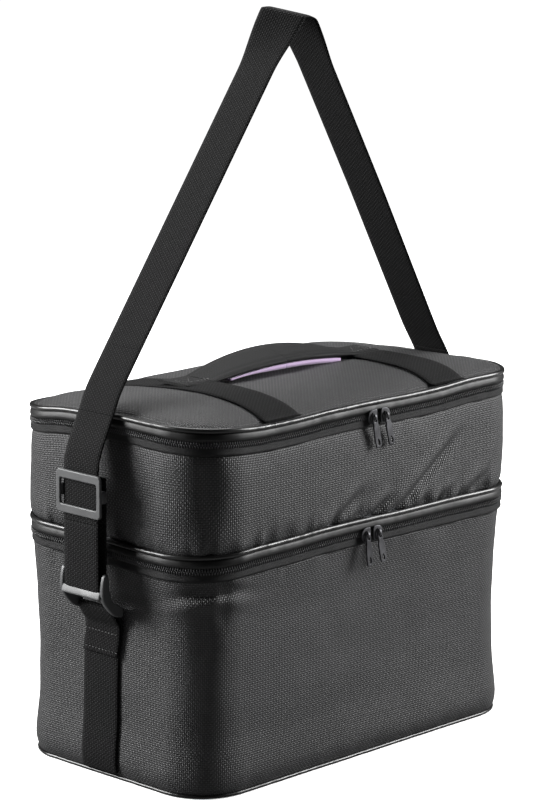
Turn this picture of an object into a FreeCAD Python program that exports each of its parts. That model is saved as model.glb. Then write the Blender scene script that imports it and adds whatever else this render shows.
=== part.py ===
"""Two-tier insulated soft carrier: a deep lower case, a shallow upper tier on a rear fabric hinge, and a domed lid.

Millimetres, +Z up, +X to the object's right, -Y is the front. The origin is the centre of the footprint on the floor.
Every sewn part follows one rounded-rectangle footprint, and "inset" is a distance inwards from that footprint.
"""

import math
import os

import FreeCAD
import Part

Vector = FreeCAD.Vector

# ---- driving dimensions -------------------------------------------------------------------------------------
LENGTH = 368.0  # overall footprint along X, over the piping
DEPTH = 216.0  # overall footprint along Y, over the piping
CORNER_RADIUS = 46.0
LOWER_CHAIN_Z = 178.5  # middle of the lower zip chain
LID_CHAIN_Z = 270.0  # middle of the lid's zip chain, at the front
LID_DROP = 6.0  # the tier sags, so the lid lies this much lower at the back than at the front
BAND_HEIGHT = 10.5  # smooth band between a zip chain and the piping above it
DOME_RISE = 12.0  # height of the lid's crown above its piping

WEBBING_WIDTH = 38.0
WEBBING_THICKNESS = 1.6
PIPING_RADIUS = 2.0
FABRIC = 1.2  # laminated outer fabric
FOAM = 5.0  # closed-cell insulation
LINER = 0.8  # welded foil liner
CLEARANCE = 0.3  # between sewn layers, so that no two solids share material

# ---- derived levels and insets ------------------------------------------------------------------------------
HALF_LENGTH = LENGTH / 2
HALF_DEPTH = DEPTH / 2
TIER_PIPING_Z = LOWER_CHAIN_Z + BAND_HEIGHT
LID_PIPING_Z = LID_CHAIN_Z + BAND_HEIGHT
TAPE_DROP = 10.0  # lower edge of a zip tape below its chain
TOOTH_GAP = 0.5  # half of the slit between the two rows of teeth
TOOTH_HEIGHT = 2.2
LOWER_WALL_INSET = 5.0
TIER_WALL_INSET = 2.5
BAND_INSET = 1.0
TAPE_INSET = 1.8
TAPE_THICKNESS = 0.6
FOAM_CLEAR_OF_SLIDERS = 5.2  # inset of the tier's foam, behind the back plates of the zip sliders
TEETH_INSET = 0.5
TEETH_DEPTH = 2.6
BOARD = 2.0  # thickness of the base board
HINGE_HALF_LENGTH = HALF_LENGTH - CORNER_RADIUS - 4.0  # the rear hinge is as long as the rear straight

STRAP_X = 204.0  # the strap hangs this far out, clear of the piping
STRAP_RIM_X = 189.5  # where it passes the lid's piping
STRAP_PEAK = Vector(13.0, 0.0, 574.0)
STRAP_SPLIT_TIER_Z = 203.3  # the strap is cut into stretches here, where the bodies that it passes part
STRAP_SPLIT_LID_Z = 284.3
STRAP_SPLIT_SWING_Z = 330.0
STRAP_CUT = 0.3
STRAP_LOOP_RADIUS = 3.8  # the strap's turn round the buckle's middle bar, with free play for the buckle

HANDLE_WIDTH = 32.0
HANDLE_THICKNESS = 6.0
HANDLE_HALF_SPAN = 78.0
HANDLE_FOOT_Z = 295.5
HANDLE_CROWN_Z = 303.0  # underside of the grip at mid-span, before the lid is leaned back
LID_WEBBING_X = 94.0

TRIGLIDE_Z = 225.5
TRIGLIDE_HEIGHT = 33.0
HARDWARE_WIDTH = 48.0
BUCKLE_FOOT_Z = 134.5
BUCKLE_BAR_Z = 151.5
ANCHOR_TOP_Z = 131.5

LID_SLIDERS = {"left": -3.0, "right": 11.0}  # the two sliders of a chain meet near its middle
LOWER_SLIDERS = {"left": -9.0, "right": 4.0}
SLIDER_LENGTH = 11.0
SLIDER_HEIGHT = 8.0
PULL_LENGTH = 25.0
PULL_WIDTH = 6.5
PULL_THICKNESS = 1.3
PULL_PIN_RADIUS = 0.8
PULL_PIN_Y = HALF_DEPTH + 3.4


# ---- shape helpers ------------------------------------------------------------------------------------------
def rounded_wire(half_x, half_y, radius, z):
    """A rounded rectangle about the Z axis, starting on its right side."""
    x, y, k = half_x - radius, half_y - radius, radius * 2**-0.5
    sides = [
        ((half_x, -y), (half_x, y), (x + k, y + k)),
        ((x, half_y), (-x, half_y), (-x - k, y + k)),
        ((-half_x, y), (-half_x, -y), (-x - k, -y - k)),
        ((-x, -half_y), (x, -half_y), (x + k, -y - k)),
    ]
    edges = []
    for number, (start, end, middle) in enumerate(sides):
        following = sides[(number + 1) % len(sides)][0]
        points = [Vector(a, b, z) for a, b in (start, end, middle, following)]
        edges.append(Part.LineSegment(points[0], points[1]).toShape())
        edges.append(Part.Arc(points[1], points[2], points[3]).toShape())
    return Part.Wire(edges)


def footprint(inset, z):
    return rounded_wire(HALF_LENGTH - inset, HALF_DEPTH - inset, max(CORNER_RADIUS - inset, 6.0), z)


def slab(inset, low, high):
    return Part.Face(footprint(inset, low)).extrude(Vector(0, 0, high - low))


def ring(inset, thickness, low, high):
    return slab(inset, low, high).cut(slab(inset + thickness, low - 1, high + 1))


def tub(inset, thickness, low, high):
    """A ring closed by a floor of the same thickness."""
    return slab(inset, low, high).cut(slab(inset + thickness, low + thickness, high + 1))


def piping(z):
    """A round cord sewn along the footprint."""
    path = footprint(PIPING_RADIUS, z)
    start = Vector(HALF_LENGTH - PIPING_RADIUS, PIPING_RADIUS + CORNER_RADIUS - HALF_DEPTH - PIPING_RADIUS, z)
    section = Part.Wire([Part.makeCircle(PIPING_RADIUS, start, Vector(0, 1, 0))])
    return path.makePipeShell([section], True, True)


def block(x0, x1, y0, y1, z0, z1):
    return Part.makeBox(x1 - x0, y1 - y0, z1 - z0, Vector(x0, y0, z0))


def rear_block(low, high):
    """The space that a rear hinge takes out of a zip."""
    return block(-HINGE_HALF_LENGTH, HINGE_HALF_LENGTH, HALF_DEPTH - 20, HALF_DEPTH + 5, low, high)


def mirrored(shape):
    return shape.mirror(Vector(0, 0, 0), Vector(1, 0, 0))


def leaned(shape):
    """Leaned back with the lid, about the front of the lid's zip chain."""
    angle = math.degrees(math.atan2(LID_DROP, DEPTH))
    return shape.rotated(Vector(0, -HALF_DEPTH, LID_CHAIN_Z), Vector(-1, 0, 0), angle)


def cut_below_lid(shape, level):
    """The part of a shape under a plane that leans with the lid, at a level measured at the front."""
    above = leaned(block(-LENGTH, LENGTH, -DEPTH, DEPTH, level, level + 100))
    return shape.cut(above)


def ribbon(points, thickness, width):
    """Webbing whose centreline is a polyline in the XZ plane, with its width along Y."""
    half, left, right = thickness / 2, [], []
    for number, point in enumerate(points):
        before = points[max(number - 1, 0)]
        after = points[min(number + 1, len(points) - 1)]
        into, out = (point - before), (after - point)
        into = into if into.Length else out
        out = out if out.Length else into
        into.normalize()
        out.normalize()
        along = (into + out).normalize()
        normal = Vector(-along.z, 0, along.x) * (half / max(along.dot(into), 0.5))
        left.append(point + normal)
        right.append(point - normal)
    outline = left + right[::-1]
    face = Part.Face(Part.makePolygon([Vector(p.x, -width / 2, p.z) for p in outline + outline[:1]]))
    return face.extrude(Vector(0, width, 0))


def bar(radius, x, z, half_width):
    """A round bar along Y."""
    return Part.makeCylinder(radius, 2 * half_width, Vector(x, -half_width, z), Vector(0, 1, 0))


def arc_points(middle, radius, first, last, count):
    """Points of an arc in the XZ plane, with angles in degrees from +X towards +Z."""
    turn = FreeCAD.Rotation
    angles = [first + (last - first) * n / (count - 1) for n in range(count)]
    return [middle + turn(Vector(0, -1, 0), a).multVec(Vector(radius, 0, 0)) for a in angles]


# ---- lower case ---------------------------------------------------------------------------------------------
def tape_with_seam(chain_z, wall_inset):
    """A zip tape below its chain, whose lower edge is turned in and sewn to the wall."""
    low = chain_z - TAPE_DROP
    tape = ring(TAPE_INSET, TAPE_THICKNESS, low, chain_z - TOOTH_GAP)
    seam = ring(TAPE_INSET, wall_inset - TAPE_INSET, low, low + 1.6)
    return tape.fuse(seam).removeSplitter().cut(rear_block(low - 1, chain_z))


def lower_case():
    wall_top = LOWER_CHAIN_Z - TAPE_DROP + 2
    foam_inset = LOWER_WALL_INSET + FABRIC + CLEARANCE
    liner_inset = foam_inset + FOAM + CLEARANCE
    floor = FABRIC + CLEARANCE
    board_top = floor + BOARD
    foam_top = board_top + CLEARANCE + FOAM
    rim = LOWER_CHAIN_Z - 1
    teeth_low = LOWER_CHAIN_Z - TOOTH_GAP - TOOTH_HEIGHT
    teeth = ring(TEETH_INSET, TEETH_DEPTH, teeth_low, LOWER_CHAIN_Z - TOOTH_GAP)
    hinge_low = LOWER_CHAIN_Z - TAPE_DROP - 6
    hinge = ring(BAND_INSET, FABRIC, hinge_low, LOWER_CHAIN_Z - TOOTH_GAP)
    return {
        "base_panel": slab(2 * PIPING_RADIUS + CLEARANCE, 0, FABRIC),
        "base_piping": piping(PIPING_RADIUS),
        "base_board": slab(foam_inset, floor, board_top),
        "base_foam": slab(foam_inset, board_top + CLEARANCE, foam_top),
        "lower_shell": ring(LOWER_WALL_INSET, FABRIC, floor, wall_top),
        "lower_foam": ring(foam_inset, FOAM, foam_top + CLEARANCE, rim),
        "lower_liner": tub(liner_inset, LINER, foam_top + CLEARANCE, rim),
        "lower_zip_tape": tape_with_seam(LOWER_CHAIN_Z, LOWER_WALL_INSET).cut(teeth),
        "lower_zip_teeth": teeth.cut(rear_block(teeth_low - 1, LOWER_CHAIN_Z)),
        "lower_hinge_strip": hinge.common(rear_block(hinge_low, LOWER_CHAIN_Z)),
    }


# ---- upper tier ---------------------------------------------------------------------------------------------
def upper_tier():
    wall_low = TIER_PIPING_Z + PIPING_RADIUS + CLEARANCE
    wall_top = LID_CHAIN_Z - TAPE_DROP + 2
    foam_inset = FOAM_CLEAR_OF_SLIDERS
    liner_inset = foam_inset + FOAM + CLEARANCE
    rim = LID_CHAIN_Z - 1
    high = LID_CHAIN_Z + LID_DROP
    band_low = LOWER_CHAIN_Z + TOOTH_GAP
    band_top = TIER_PIPING_Z - PIPING_RADIUS - CLEARANCE
    panel_low = TIER_PIPING_Z - FABRIC / 2
    teeth = ring(TEETH_INSET, TEETH_DEPTH, band_low, band_low + TOOTH_HEIGHT)
    teeth = teeth.cut(rear_block(band_low - 1, band_low + TOOTH_HEIGHT + 1))
    lid_teeth_low = LID_CHAIN_Z - TOOTH_GAP - TOOTH_HEIGHT
    lid_teeth = ring(TEETH_INSET, TEETH_DEPTH, lid_teeth_low, LID_CHAIN_Z - TOOTH_GAP)
    hinge_low = LID_CHAIN_Z - TAPE_DROP - 6
    hinge = ring(BAND_INSET, FABRIC, hinge_low, LID_CHAIN_Z - TOOTH_GAP).common(rear_block(hinge_low, LID_CHAIN_Z))
    shell = cut_below_lid(ring(TIER_WALL_INSET, FABRIC, wall_low, high), wall_top)
    return {
        "tier_piping": piping(TIER_PIPING_Z),
        "tier_band": ring(BAND_INSET, FABRIC, band_low, band_top).cut(teeth),
        "tier_zip_teeth": teeth,
        "tier_floor_panel": slab(2 * PIPING_RADIUS + CLEARANCE, panel_low, panel_low + FABRIC),
        "tier_floor_foam": slab(foam_inset, band_low + LINER + CLEARANCE, panel_low - CLEARANCE),
        "lower_lid_liner": slab(foam_inset, band_low, band_low + LINER),
        "tier_shell": shell,
        "tier_foam": cut_below_lid(ring(foam_inset, FOAM, wall_low, high), rim),
        "tier_liner": cut_below_lid(tub(liner_inset, LINER, wall_low, high), rim),
        "lid_zip_tape": leaned(tape_with_seam(LID_CHAIN_Z, TIER_WALL_INSET).cut(lid_teeth)).cut(shell),
        "lid_zip_lower_teeth": leaned(lid_teeth.cut(rear_block(lid_teeth_low - 1, LID_CHAIN_Z))),
        "lid_hinge_strip": leaned(hinge).cut(shell),
    }


# ---- lid ----------------------------------------------------------------------------------------------------
def dome(inset, base, rise):
    """A crowned pillow over the footprint: a loft through shrinking rounded rectangles."""
    levels = [(0.0, 0.0), (8.0, 0.36), (24.0, 0.70), (46.0, 0.92), (72.0, 1.0)]
    sections = [footprint(inset + step, base + rise * share) for step, share in levels]
    return Part.makeLoft(sections, True, False)


def lid():
    band_low = LID_CHAIN_Z + TOOTH_GAP
    band_top = LID_PIPING_Z - PIPING_RADIUS - CLEARANCE
    teeth = ring(TEETH_INSET, TEETH_DEPTH, band_low, band_low + TOOTH_HEIGHT)
    panel_inset = 2 * PIPING_RADIUS + CLEARANCE
    skin = dome(panel_inset, LID_PIPING_Z, DOME_RISE)
    hollow = dome(panel_inset + FABRIC, LID_PIPING_Z - 0.01, DOME_RISE - FABRIC)
    foam_inset = panel_inset + FABRIC + 1
    foam_low = band_low + LINER + CLEARANCE
    foam = dome(foam_inset, LID_PIPING_Z, DOME_RISE - FABRIC - 2 * CLEARANCE)
    return {
        "lid_piping": piping(LID_PIPING_Z),
        "lid_band": ring(BAND_INSET, FABRIC, band_low, band_top).cut(teeth),
        "lid_zip_upper_teeth": teeth.cut(rear_block(band_low - 1, band_low + TOOTH_HEIGHT + 1)),
        "lid_panel": skin.cut(hollow),
        "lid_foam": foam.fuse(slab(foam_inset, foam_low, LID_PIPING_Z)).removeSplitter(),
        "lid_liner": slab(foam_inset, band_low, band_low + LINER),
    }


def lid_webbings():
    """Two webbing bands over the lid, front to back, that the handle is sewn to."""
    skin = dome(2 * PIPING_RADIUS + CLEARANCE, LID_PIPING_Z, DOME_RISE)
    under, over = (skin.translated(Vector(0, 0, lift)) for lift in (CLEARANCE, CLEARANCE + WEBBING_THICKNESS))
    band = over.cut(under)
    nodes = {}
    for side, sign in (("left", -1), ("right", 1)):
        x = sign * LID_WEBBING_X
        strip = block(x - WEBBING_WIDTH / 2, x + WEBBING_WIDTH / 2, -HALF_DEPTH, HALF_DEPTH, LID_PIPING_Z, 400)
        nodes[f"lid_webbing_{side}"] = band.common(strip)
    return nodes


def handle_arch(low, high, width):
    """A shallow arch along X, between two heights above the grip's underside."""

    def rise(lift):
        ends = [Vector(s * HANDLE_HALF_SPAN, -width / 2, HANDLE_FOOT_Z + lift) for s in (-1, 1)]
        return Part.Arc(ends[0], Vector(0, -width / 2, HANDLE_CROWN_Z + lift), ends[1]).toShape()

    under, over = rise(low), rise(high)
    sides = [Part.makeLine(under.valueAt(p), over.valueAt(p)) for p in (under.FirstParameter, under.LastParameter)]
    return Part.Face(Part.Wire([sides[0], over, sides[1], under])).extrude(Vector(0, width, 0))


def handle():
    lining = 1.2
    wall = 1.2
    sleeve = handle_arch(lining + CLEARANCE, lining + HANDLE_THICKNESS, HANDLE_WIDTH)
    bore = handle_arch(lining + CLEARANCE + wall, lining + HANDLE_THICKNESS - wall, HANDLE_WIDTH - 2 * wall)
    core = handle_arch(
        lining + 2 * CLEARANCE + wall, lining + HANDLE_THICKNESS - wall - CLEARANCE, HANDLE_WIDTH - 3 * wall
    )
    return {
        "handle_sleeve": sleeve.cut(bore),
        "handle_core": core,
        "handle_lining": handle_arch(0, lining, HANDLE_WIDTH - 2),
    }


def handle_tabs():
    """The flat ends of the handle, sewn down on the lid's webbing bands."""
    low = LID_PIPING_Z + DOME_RISE + 2 * CLEARANCE + WEBBING_THICKNESS
    tab = block(HANDLE_HALF_SPAN + CLEARANCE, LID_WEBBING_X + 12, -13, 13, low, low + 1.2)
    return {"handle_tab_left": mirrored(tab), "handle_tab_right": tab}


# ---- shoulder strap -----------------------------------------------------------------------------------------
def strap_leg(sign):
    """Centreline of one leg from beside the buckle to the crown, upwards."""
    x = sign * STRAP_X
    lean_x = sign * (STRAP_X - 4)
    rim = Vector(sign * STRAP_RIM_X, 0, LID_PIPING_Z + 1)
    return [Vector(x, 0, BUCKLE_BAR_Z + 4), Vector(x, 0, 240), Vector(lean_x, 0, 256), rim, STRAP_PEAK]


def strap_pieces():
    """The strap above the buckles, in stretches: beside the tier, bending over the lid, and the free loop."""
    legs = {side: strap_leg(sign) for side, sign in (("left", -1), ("right", 1))}
    rims = [points[3] for points in legs.values()]
    shoulders = [STRAP_PEAK + (rim - STRAP_PEAK).normalize() * 14 for rim in rims]
    crown = Part.Arc(shoulders[0], STRAP_PEAK - Vector(0, 0, 4.5), shoulders[1]).toShape().discretize(13)
    loop = ribbon([rims[0], *crown, rims[1]], WEBBING_THICKNESS, WEBBING_WIDTH)

    def stretch(shape, low, high, sign=0):
        x0 = 0 if sign > 0 else -LENGTH
        x1 = 0 if sign < 0 else LENGTH
        return shape.common(block(x0, x1, -WEBBING_WIDTH, WEBBING_WIDTH, low, high))

    pieces = {"shoulder_strap": stretch(loop, STRAP_SPLIT_SWING_Z + STRAP_CUT, STRAP_PEAK.z + 20)}
    for (side, points), sign in zip(legs.items(), (-1, 1)):
        leg = ribbon(points, WEBBING_THICKNESS, WEBBING_WIDTH)
        tier_low, flex_low = STRAP_SPLIT_TIER_Z + STRAP_CUT, STRAP_SPLIT_LID_Z + STRAP_CUT
        pieces[f"strap_mid_{side}"] = stretch(leg, tier_low, STRAP_SPLIT_LID_Z, sign)
        pieces[f"strap_flex_{side}"] = stretch(leg, flex_low, STRAP_SPLIT_SWING_Z, sign)
    return pieces


def strap_lower(sign):
    """The doubled webbing that hangs from the triglide, round the buckle's middle bar."""
    x = sign * STRAP_X
    middle = Vector(x - sign * STRAP_LOOP_RADIUS, 0, BUCKLE_BAR_Z)
    outer = Vector(x, 0, STRAP_SPLIT_TIER_Z)
    inner = Vector(x - sign * 2 * STRAP_LOOP_RADIUS, 0, STRAP_SPLIT_TIER_Z)
    first, last = (0, -180) if sign > 0 else (180, 360)
    around = arc_points(middle, STRAP_LOOP_RADIUS, first, last, 13)
    return ribbon([outer, *around, inner], WEBBING_THICKNESS, WEBBING_WIDTH)


def strap_tail(sign):
    """The sewn-back end of the strap, behind the triglide's middle bar."""
    x = sign * (STRAP_X - 2 * STRAP_LOOP_RADIUS)
    return ribbon(
        [Vector(x, 0, STRAP_SPLIT_TIER_Z + STRAP_CUT), Vector(x, 0, TRIGLIDE_Z + 13)], WEBBING_THICKNESS, WEBBING_WIDTH
    )


def triglide(sign):
    """A slide adjuster: two front bars and side bars in one frame, with a middle bar behind the webbing."""
    half_w, half_h = HARDWARE_WIDTH / 2, TRIGLIDE_HEIGHT / 2
    slot_w, rim = WEBBING_WIDTH / 2 + 0.8, 6.5
    front, back = STRAP_X + 3.4, STRAP_X + 1.1
    frame = block(back, front, -half_w, half_w, TRIGLIDE_Z - half_h, TRIGLIDE_Z + half_h)
    window = block(back - 1, front + 1, -slot_w, slot_w, TRIGLIDE_Z - half_h + rim, TRIGLIDE_Z + half_h - rim)
    frame = frame.cut(window)
    corners = [e for e in frame.Edges if e.Length < 3 and abs(abs(e.CenterOfMass.y) - half_w) < 0.1]
    frame = frame.makeFillet(3.0, corners)
    side = block(STRAP_X - 3.9, back, slot_w, half_w, TRIGLIDE_Z - 5, TRIGLIDE_Z + 5)
    middle = block(STRAP_X - 3.9, STRAP_X - 1.6, -half_w, half_w, TRIGLIDE_Z - 3.5, TRIGLIDE_Z + 3.5)
    solid = frame.fuse([side, side.mirror(Vector(), Vector(0, 1, 0)), middle]).removeSplitter()
    return solid if sign > 0 else mirrored(solid)


def buckle(sign):
    """A looplock: two bowed side plates joined by a foot bar in the anchor loop and a middle bar in the strap."""
    slot = WEBBING_WIDTH / 2 + 0.8
    plate = (HARDWARE_WIDTH / 2) - slot
    bar_x = STRAP_X - STRAP_LOOP_RADIUS
    foot_x = HALF_LENGTH + 3.4
    outline = [
        Vector(foot_x - 2.6, slot, BUCKLE_FOOT_Z - 3.4),
        Vector(bar_x + 1.0, slot, BUCKLE_BAR_Z - 7.0),
        Vector(bar_x + 3.6, slot, BUCKLE_BAR_Z + 2.0),
        Vector(bar_x + 2.4, slot, BUCKLE_BAR_Z + 13.5),
        Vector(bar_x - 1.2, slot, BUCKLE_BAR_Z + 13.5),
        Vector(bar_x - 2.6, slot, BUCKLE_BAR_Z + 3.0),
        Vector(foot_x - 3.2, slot, BUCKLE_FOOT_Z + 2.6),
    ]
    curve = Part.BSplineCurve()
    curve.interpolate(outline, True)
    side = Part.Face(Part.Wire([curve.toShape()])).extrude(Vector(0, plate, 0))
    bars = [bar(1.6, x, z, slot + 1) for x, z in ((bar_x, BUCKLE_BAR_Z), (foot_x, BUCKLE_FOOT_Z))]
    solid = side.fuse([side.mirror(Vector(), Vector(0, 1, 0)), *bars]).removeSplitter()
    return solid if sign > 0 else mirrored(solid)


def strap_anchor(sign):
    """Webbing sewn up the end wall from the base piping, folded round the buckle's foot bar."""
    wall_x = HALF_LENGTH - LOWER_WALL_INSET + WEBBING_THICKNESS / 2 + CLEARANCE
    foot_x = HALF_LENGTH + 3.4
    loop = 2.9
    around = arc_points(Vector(foot_x, 0, BUCKLE_FOOT_Z), loop, -60, 180, 11)
    up = [Vector(wall_x, 0, 2 * PIPING_RADIUS + 1), Vector(wall_x, 0, ANCHOR_TOP_Z - 8)]
    patch_x = wall_x + WEBBING_THICKNESS + CLEARANCE
    front = [Vector(patch_x, 0, ANCHOR_TOP_Z - 24), Vector(patch_x, 0, ANCHOR_TOP_Z - 7)]
    web = ribbon([*up, *around[::-1]], WEBBING_THICKNESS, WEBBING_WIDTH)
    patch = ribbon([*front, around[0] + Vector(-0.4, 0, -1.5)], WEBBING_THICKNESS, WEBBING_WIDTH)
    solid = web.fuse(patch).removeSplitter()
    return solid if sign > 0 else mirrored(solid)


# ---- zip sliders and pulls ----------------------------------------------------------------------------------
def slider(x, chain_z):
    """Front and back plates round the chain, joined by a thin post in its slit, with two ears for the pull."""
    front_y = -(HALF_DEPTH - TEETH_INSET + 0.35)
    back_y = -(HALF_DEPTH - TEETH_INSET - TEETH_DEPTH - 0.35)
    half_l, half_h = SLIDER_LENGTH / 2, SLIDER_HEIGHT / 2
    front = block(-half_l, half_l, front_y - 1.3, front_y, -half_h, half_h)
    front = front.makeFillet(2.2, [e for e in front.Edges if abs(e.Length - 1.3) < 0.01])
    back = block(-half_l, half_l, back_y, back_y + 1.2, -half_h, half_h)
    post = block(-2.0, 2.0, front_y - 0.5, back_y + 0.5, -0.3, 0.3)
    ears = []
    for low in (-2.9, 1.9):
        ears.append(block(low, low + 1.0, -PULL_PIN_Y - 1.3, front_y - 0.5, -1.5, 1.8))
    pin = Part.makeCylinder(PULL_PIN_RADIUS, 5.4, Vector(-2.7, -PULL_PIN_Y, 0), Vector(1, 0, 0))
    solid = front.fuse([back, post, *ears, pin]).removeSplitter()
    return solid.translated(Vector(x, 0, chain_z))


def pull(x, chain_z):
    """A flat tab that hangs from the slider's pin, with a long eye at its free end."""
    y = -PULL_PIN_Y
    neck, half_w = 1.55, PULL_WIDTH / 2
    eye_r = 2.0
    knuckle = Part.makeCylinder(neck, 3.0, Vector(-1.5, y, 0), Vector(1, 0, 0))
    arm = block(-1.5, 1.5, y - PULL_THICKNESS / 2, y + PULL_THICKNESS / 2, -6.0, -0.2)
    tab = block(-half_w, half_w, y - PULL_THICKNESS / 2, y + PULL_THICKNESS / 2, -PULL_LENGTH, -4.2)
    tab = tab.makeFillet(2.4, [e for e in tab.Edges if abs(e.Length - PULL_THICKNESS) < 0.01])
    eye = block(-eye_r, eye_r, y - 2, y + 2, -PULL_LENGTH + 1.6, -PULL_LENGTH + 7.6)
    eye = eye.makeFillet(1.9, [e for e in eye.Edges if abs(e.Length - 4.0) < 0.01 and abs(e.CenterOfMass.y - y) < 0.1])
    bore = Part.makeCylinder(PULL_PIN_RADIUS + 0.1, 4.0, Vector(-2.0, y, 0), Vector(1, 0, 0))
    solid = tab.fuse([arm, knuckle]).cut(eye).cut(bore).removeSplitter()
    return solid.translated(Vector(x, 0, chain_z))


def zip_runners():
    nodes = {}
    for chain, chain_z, centres in (("lid", LID_CHAIN_Z, LID_SLIDERS), ("lower", LOWER_CHAIN_Z, LOWER_SLIDERS)):
        for side, x in centres.items():
            nodes[f"{chain}_slider_{side}"] = slider(x, chain_z)
            nodes[f"{chain}_pull_{side}"] = pull(x, chain_z)
    return nodes


# ---- all nodes ----------------------------------------------------------------------------------------------
def carrier():
    top = {**lid(), **lid_webbings(), **handle(), **handle_tabs()}
    nodes = {**lower_case(), **upper_tier(), **{name: leaned(shape) for name, shape in top.items()}}
    nodes.update(strap_pieces())
    nodes.update(zip_runners())
    for side, sign in (("left", -1), ("right", 1)):
        nodes[f"strap_lower_{side}"] = strap_lower(sign)
        nodes[f"strap_tail_{side}"] = strap_tail(sign)
        nodes[f"triglide_{side}"] = triglide(sign)
        nodes[f"strap_buckle_{side}"] = buckle(sign)
        nodes[f"strap_anchor_{side}"] = strap_anchor(sign)
    return nodes


def main():
    os.makedirs("parts", exist_ok=True)
    for name, shape in carrier().items():
        problem = "" if shape.isValid() and shape.Solids and shape.Volume > 0 else "  INVALID"
        print(f"{name:22} solids {len(shape.Solids)}  volume {shape.Volume / 1000:9.2f} cm3{problem}")
        shape.exportStep(f"parts/{name}.step")


main()
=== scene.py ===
"""Two-tier insulated soft carrier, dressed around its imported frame. Metres, in the frame's axes."""

import math

import bpy
import numpy as np
from mathutils import Matrix, Vector
from mathutils.geometry import delaunay_2d_cdt


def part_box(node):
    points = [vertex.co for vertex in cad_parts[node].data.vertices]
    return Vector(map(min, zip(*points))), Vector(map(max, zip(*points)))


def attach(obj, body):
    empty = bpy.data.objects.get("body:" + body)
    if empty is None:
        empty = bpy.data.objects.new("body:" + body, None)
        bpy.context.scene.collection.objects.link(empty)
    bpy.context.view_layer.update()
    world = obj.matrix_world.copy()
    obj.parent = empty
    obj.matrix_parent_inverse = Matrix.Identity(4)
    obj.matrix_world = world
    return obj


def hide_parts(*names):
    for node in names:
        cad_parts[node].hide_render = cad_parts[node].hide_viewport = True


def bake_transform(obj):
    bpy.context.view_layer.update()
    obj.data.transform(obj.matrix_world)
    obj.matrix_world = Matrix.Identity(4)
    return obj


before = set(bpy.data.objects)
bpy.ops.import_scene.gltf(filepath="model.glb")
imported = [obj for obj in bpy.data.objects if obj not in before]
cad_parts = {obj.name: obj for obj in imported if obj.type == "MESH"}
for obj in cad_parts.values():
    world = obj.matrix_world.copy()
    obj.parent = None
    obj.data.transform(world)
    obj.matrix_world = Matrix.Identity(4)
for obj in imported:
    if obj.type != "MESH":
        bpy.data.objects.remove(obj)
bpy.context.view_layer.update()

# ---- places, from the frame ------------------------------------------------------------------------------
TIER_CORD_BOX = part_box("tier_piping")
HALF_X, HALF_Y = TIER_CORD_BOX[1].x, TIER_CORD_BOX[1].y
CORNER = 0.046
CORD_RADIUS = (TIER_CORD_BOX[1].z - TIER_CORD_BOX[0].z) / 2
TIER_CORD_Z = TIER_CORD_BOX[0].z + CORD_RADIUS
LOWER_CHAIN_Z = (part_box("lower_zip_teeth")[1].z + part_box("tier_zip_teeth")[0].z) / 2
LID_CORD_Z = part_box("lid_piping")[1].z - CORD_RADIUS
LID_CHAIN_Z = LID_CORD_Z - (TIER_CORD_Z - LOWER_CHAIN_Z)
HINGE_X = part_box("lower_hinge_strip")[1].x
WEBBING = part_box("strap_lower_left")[1].y * 2
STRAP_THICK = 0.0016
CLOTH_THICK = 0.0012
STITCH_LONG, STITCH_THICK = 0.0026, 0.0003
STRAP_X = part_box("strap_mid_right")[1].x - 0.0008
STRAP_LOOP = 0.0038
TAPE_DROP = 0.0082
ACROSS = np.array([0.0, 1.0, 0.0])  # the way the strap's width lies
STRAIGHT_X, STRAIGHT_Y = HALF_X - CORNER, HALF_Y - CORNER
ARC = CORNER * math.pi / 2
PERIMETER = 4 * (STRAIGHT_X + STRAIGHT_Y + ARC)
FRONT_MIDDLE = PERIMETER / 2
LEFT_MIDDLE = STRAIGHT_X + ARC + STRAIGHT_Y
FRONT_LEFT = STRAIGHT_X + 1.5 * ARC + 2 * STRAIGHT_Y  # middle of the front-left corner, along the rim


# ---- material nodes --------------------------------------------------------------------------------------
class Nodes:
    """A short way to wire a Principled material."""

    def __init__(self, name):
        self.material = bpy.data.materials.new(name)
        self.material.use_nodes = True
        self.tree = self.material.node_tree
        self.shader = self.tree.nodes["Principled BSDF"]

    def new(self, kind, inputs=(), **settings):
        node = self.tree.nodes.new(kind)
        for key, value in settings.items():
            setattr(node, key, value)
        for key, value in dict(inputs).items():
            self.join(value, node.inputs[key])
        return node

    def join(self, value, socket):
        if isinstance(value, bpy.types.NodeSocket):
            self.tree.links.new(value, socket)
        else:
            socket.default_value = value

    def math(self, operation, a, b=0.0, c=0.0):
        return self.new("ShaderNodeMath", {0: a, 1: b, 2: c}, operation=operation).outputs[0]

    def noise(self, vector, scale, detail=2.0, roughness=0.5):
        inputs = {"Vector": vector, "Scale": scale, "Detail": detail, "Roughness": roughness}
        return self.new("ShaderNodeTexNoise", inputs).outputs["Fac"]

    def attribute(self, name):
        return self.new("ShaderNodeAttribute", attribute_name=name).outputs["Vector"]

    def object_place(self):
        return self.new("ShaderNodeTexCoord").outputs["Object"]

    def span(self, value, low, high, to_low, to_high):
        inputs = {"Value": value, "From Min": low, "From Max": high, "To Min": to_low, "To Max": to_high}
        return self.new("ShaderNodeMapRange", inputs).outputs["Result"]

    def colours(self, factor, low, high):
        node = self.new("ShaderNodeMix", data_type="RGBA")
        self.join(factor, node.inputs[0])
        self.join((*low, 1.0), node.inputs[6])
        self.join((*high, 1.0), node.inputs[7])
        return node.outputs[2]

    def bump(self, height, distance, strength=1.0, before=None):
        inputs = {"Height": height, "Distance": distance, "Strength": strength}
        if before is not None:
            inputs["Normal"] = before
        return self.new("ShaderNodeBump", inputs).outputs["Normal"]

    def finish(self, **values):
        for key, value in values.items():
            self.join(value, self.shader.inputs[key.replace("_", " ")])
        return self.material


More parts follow.
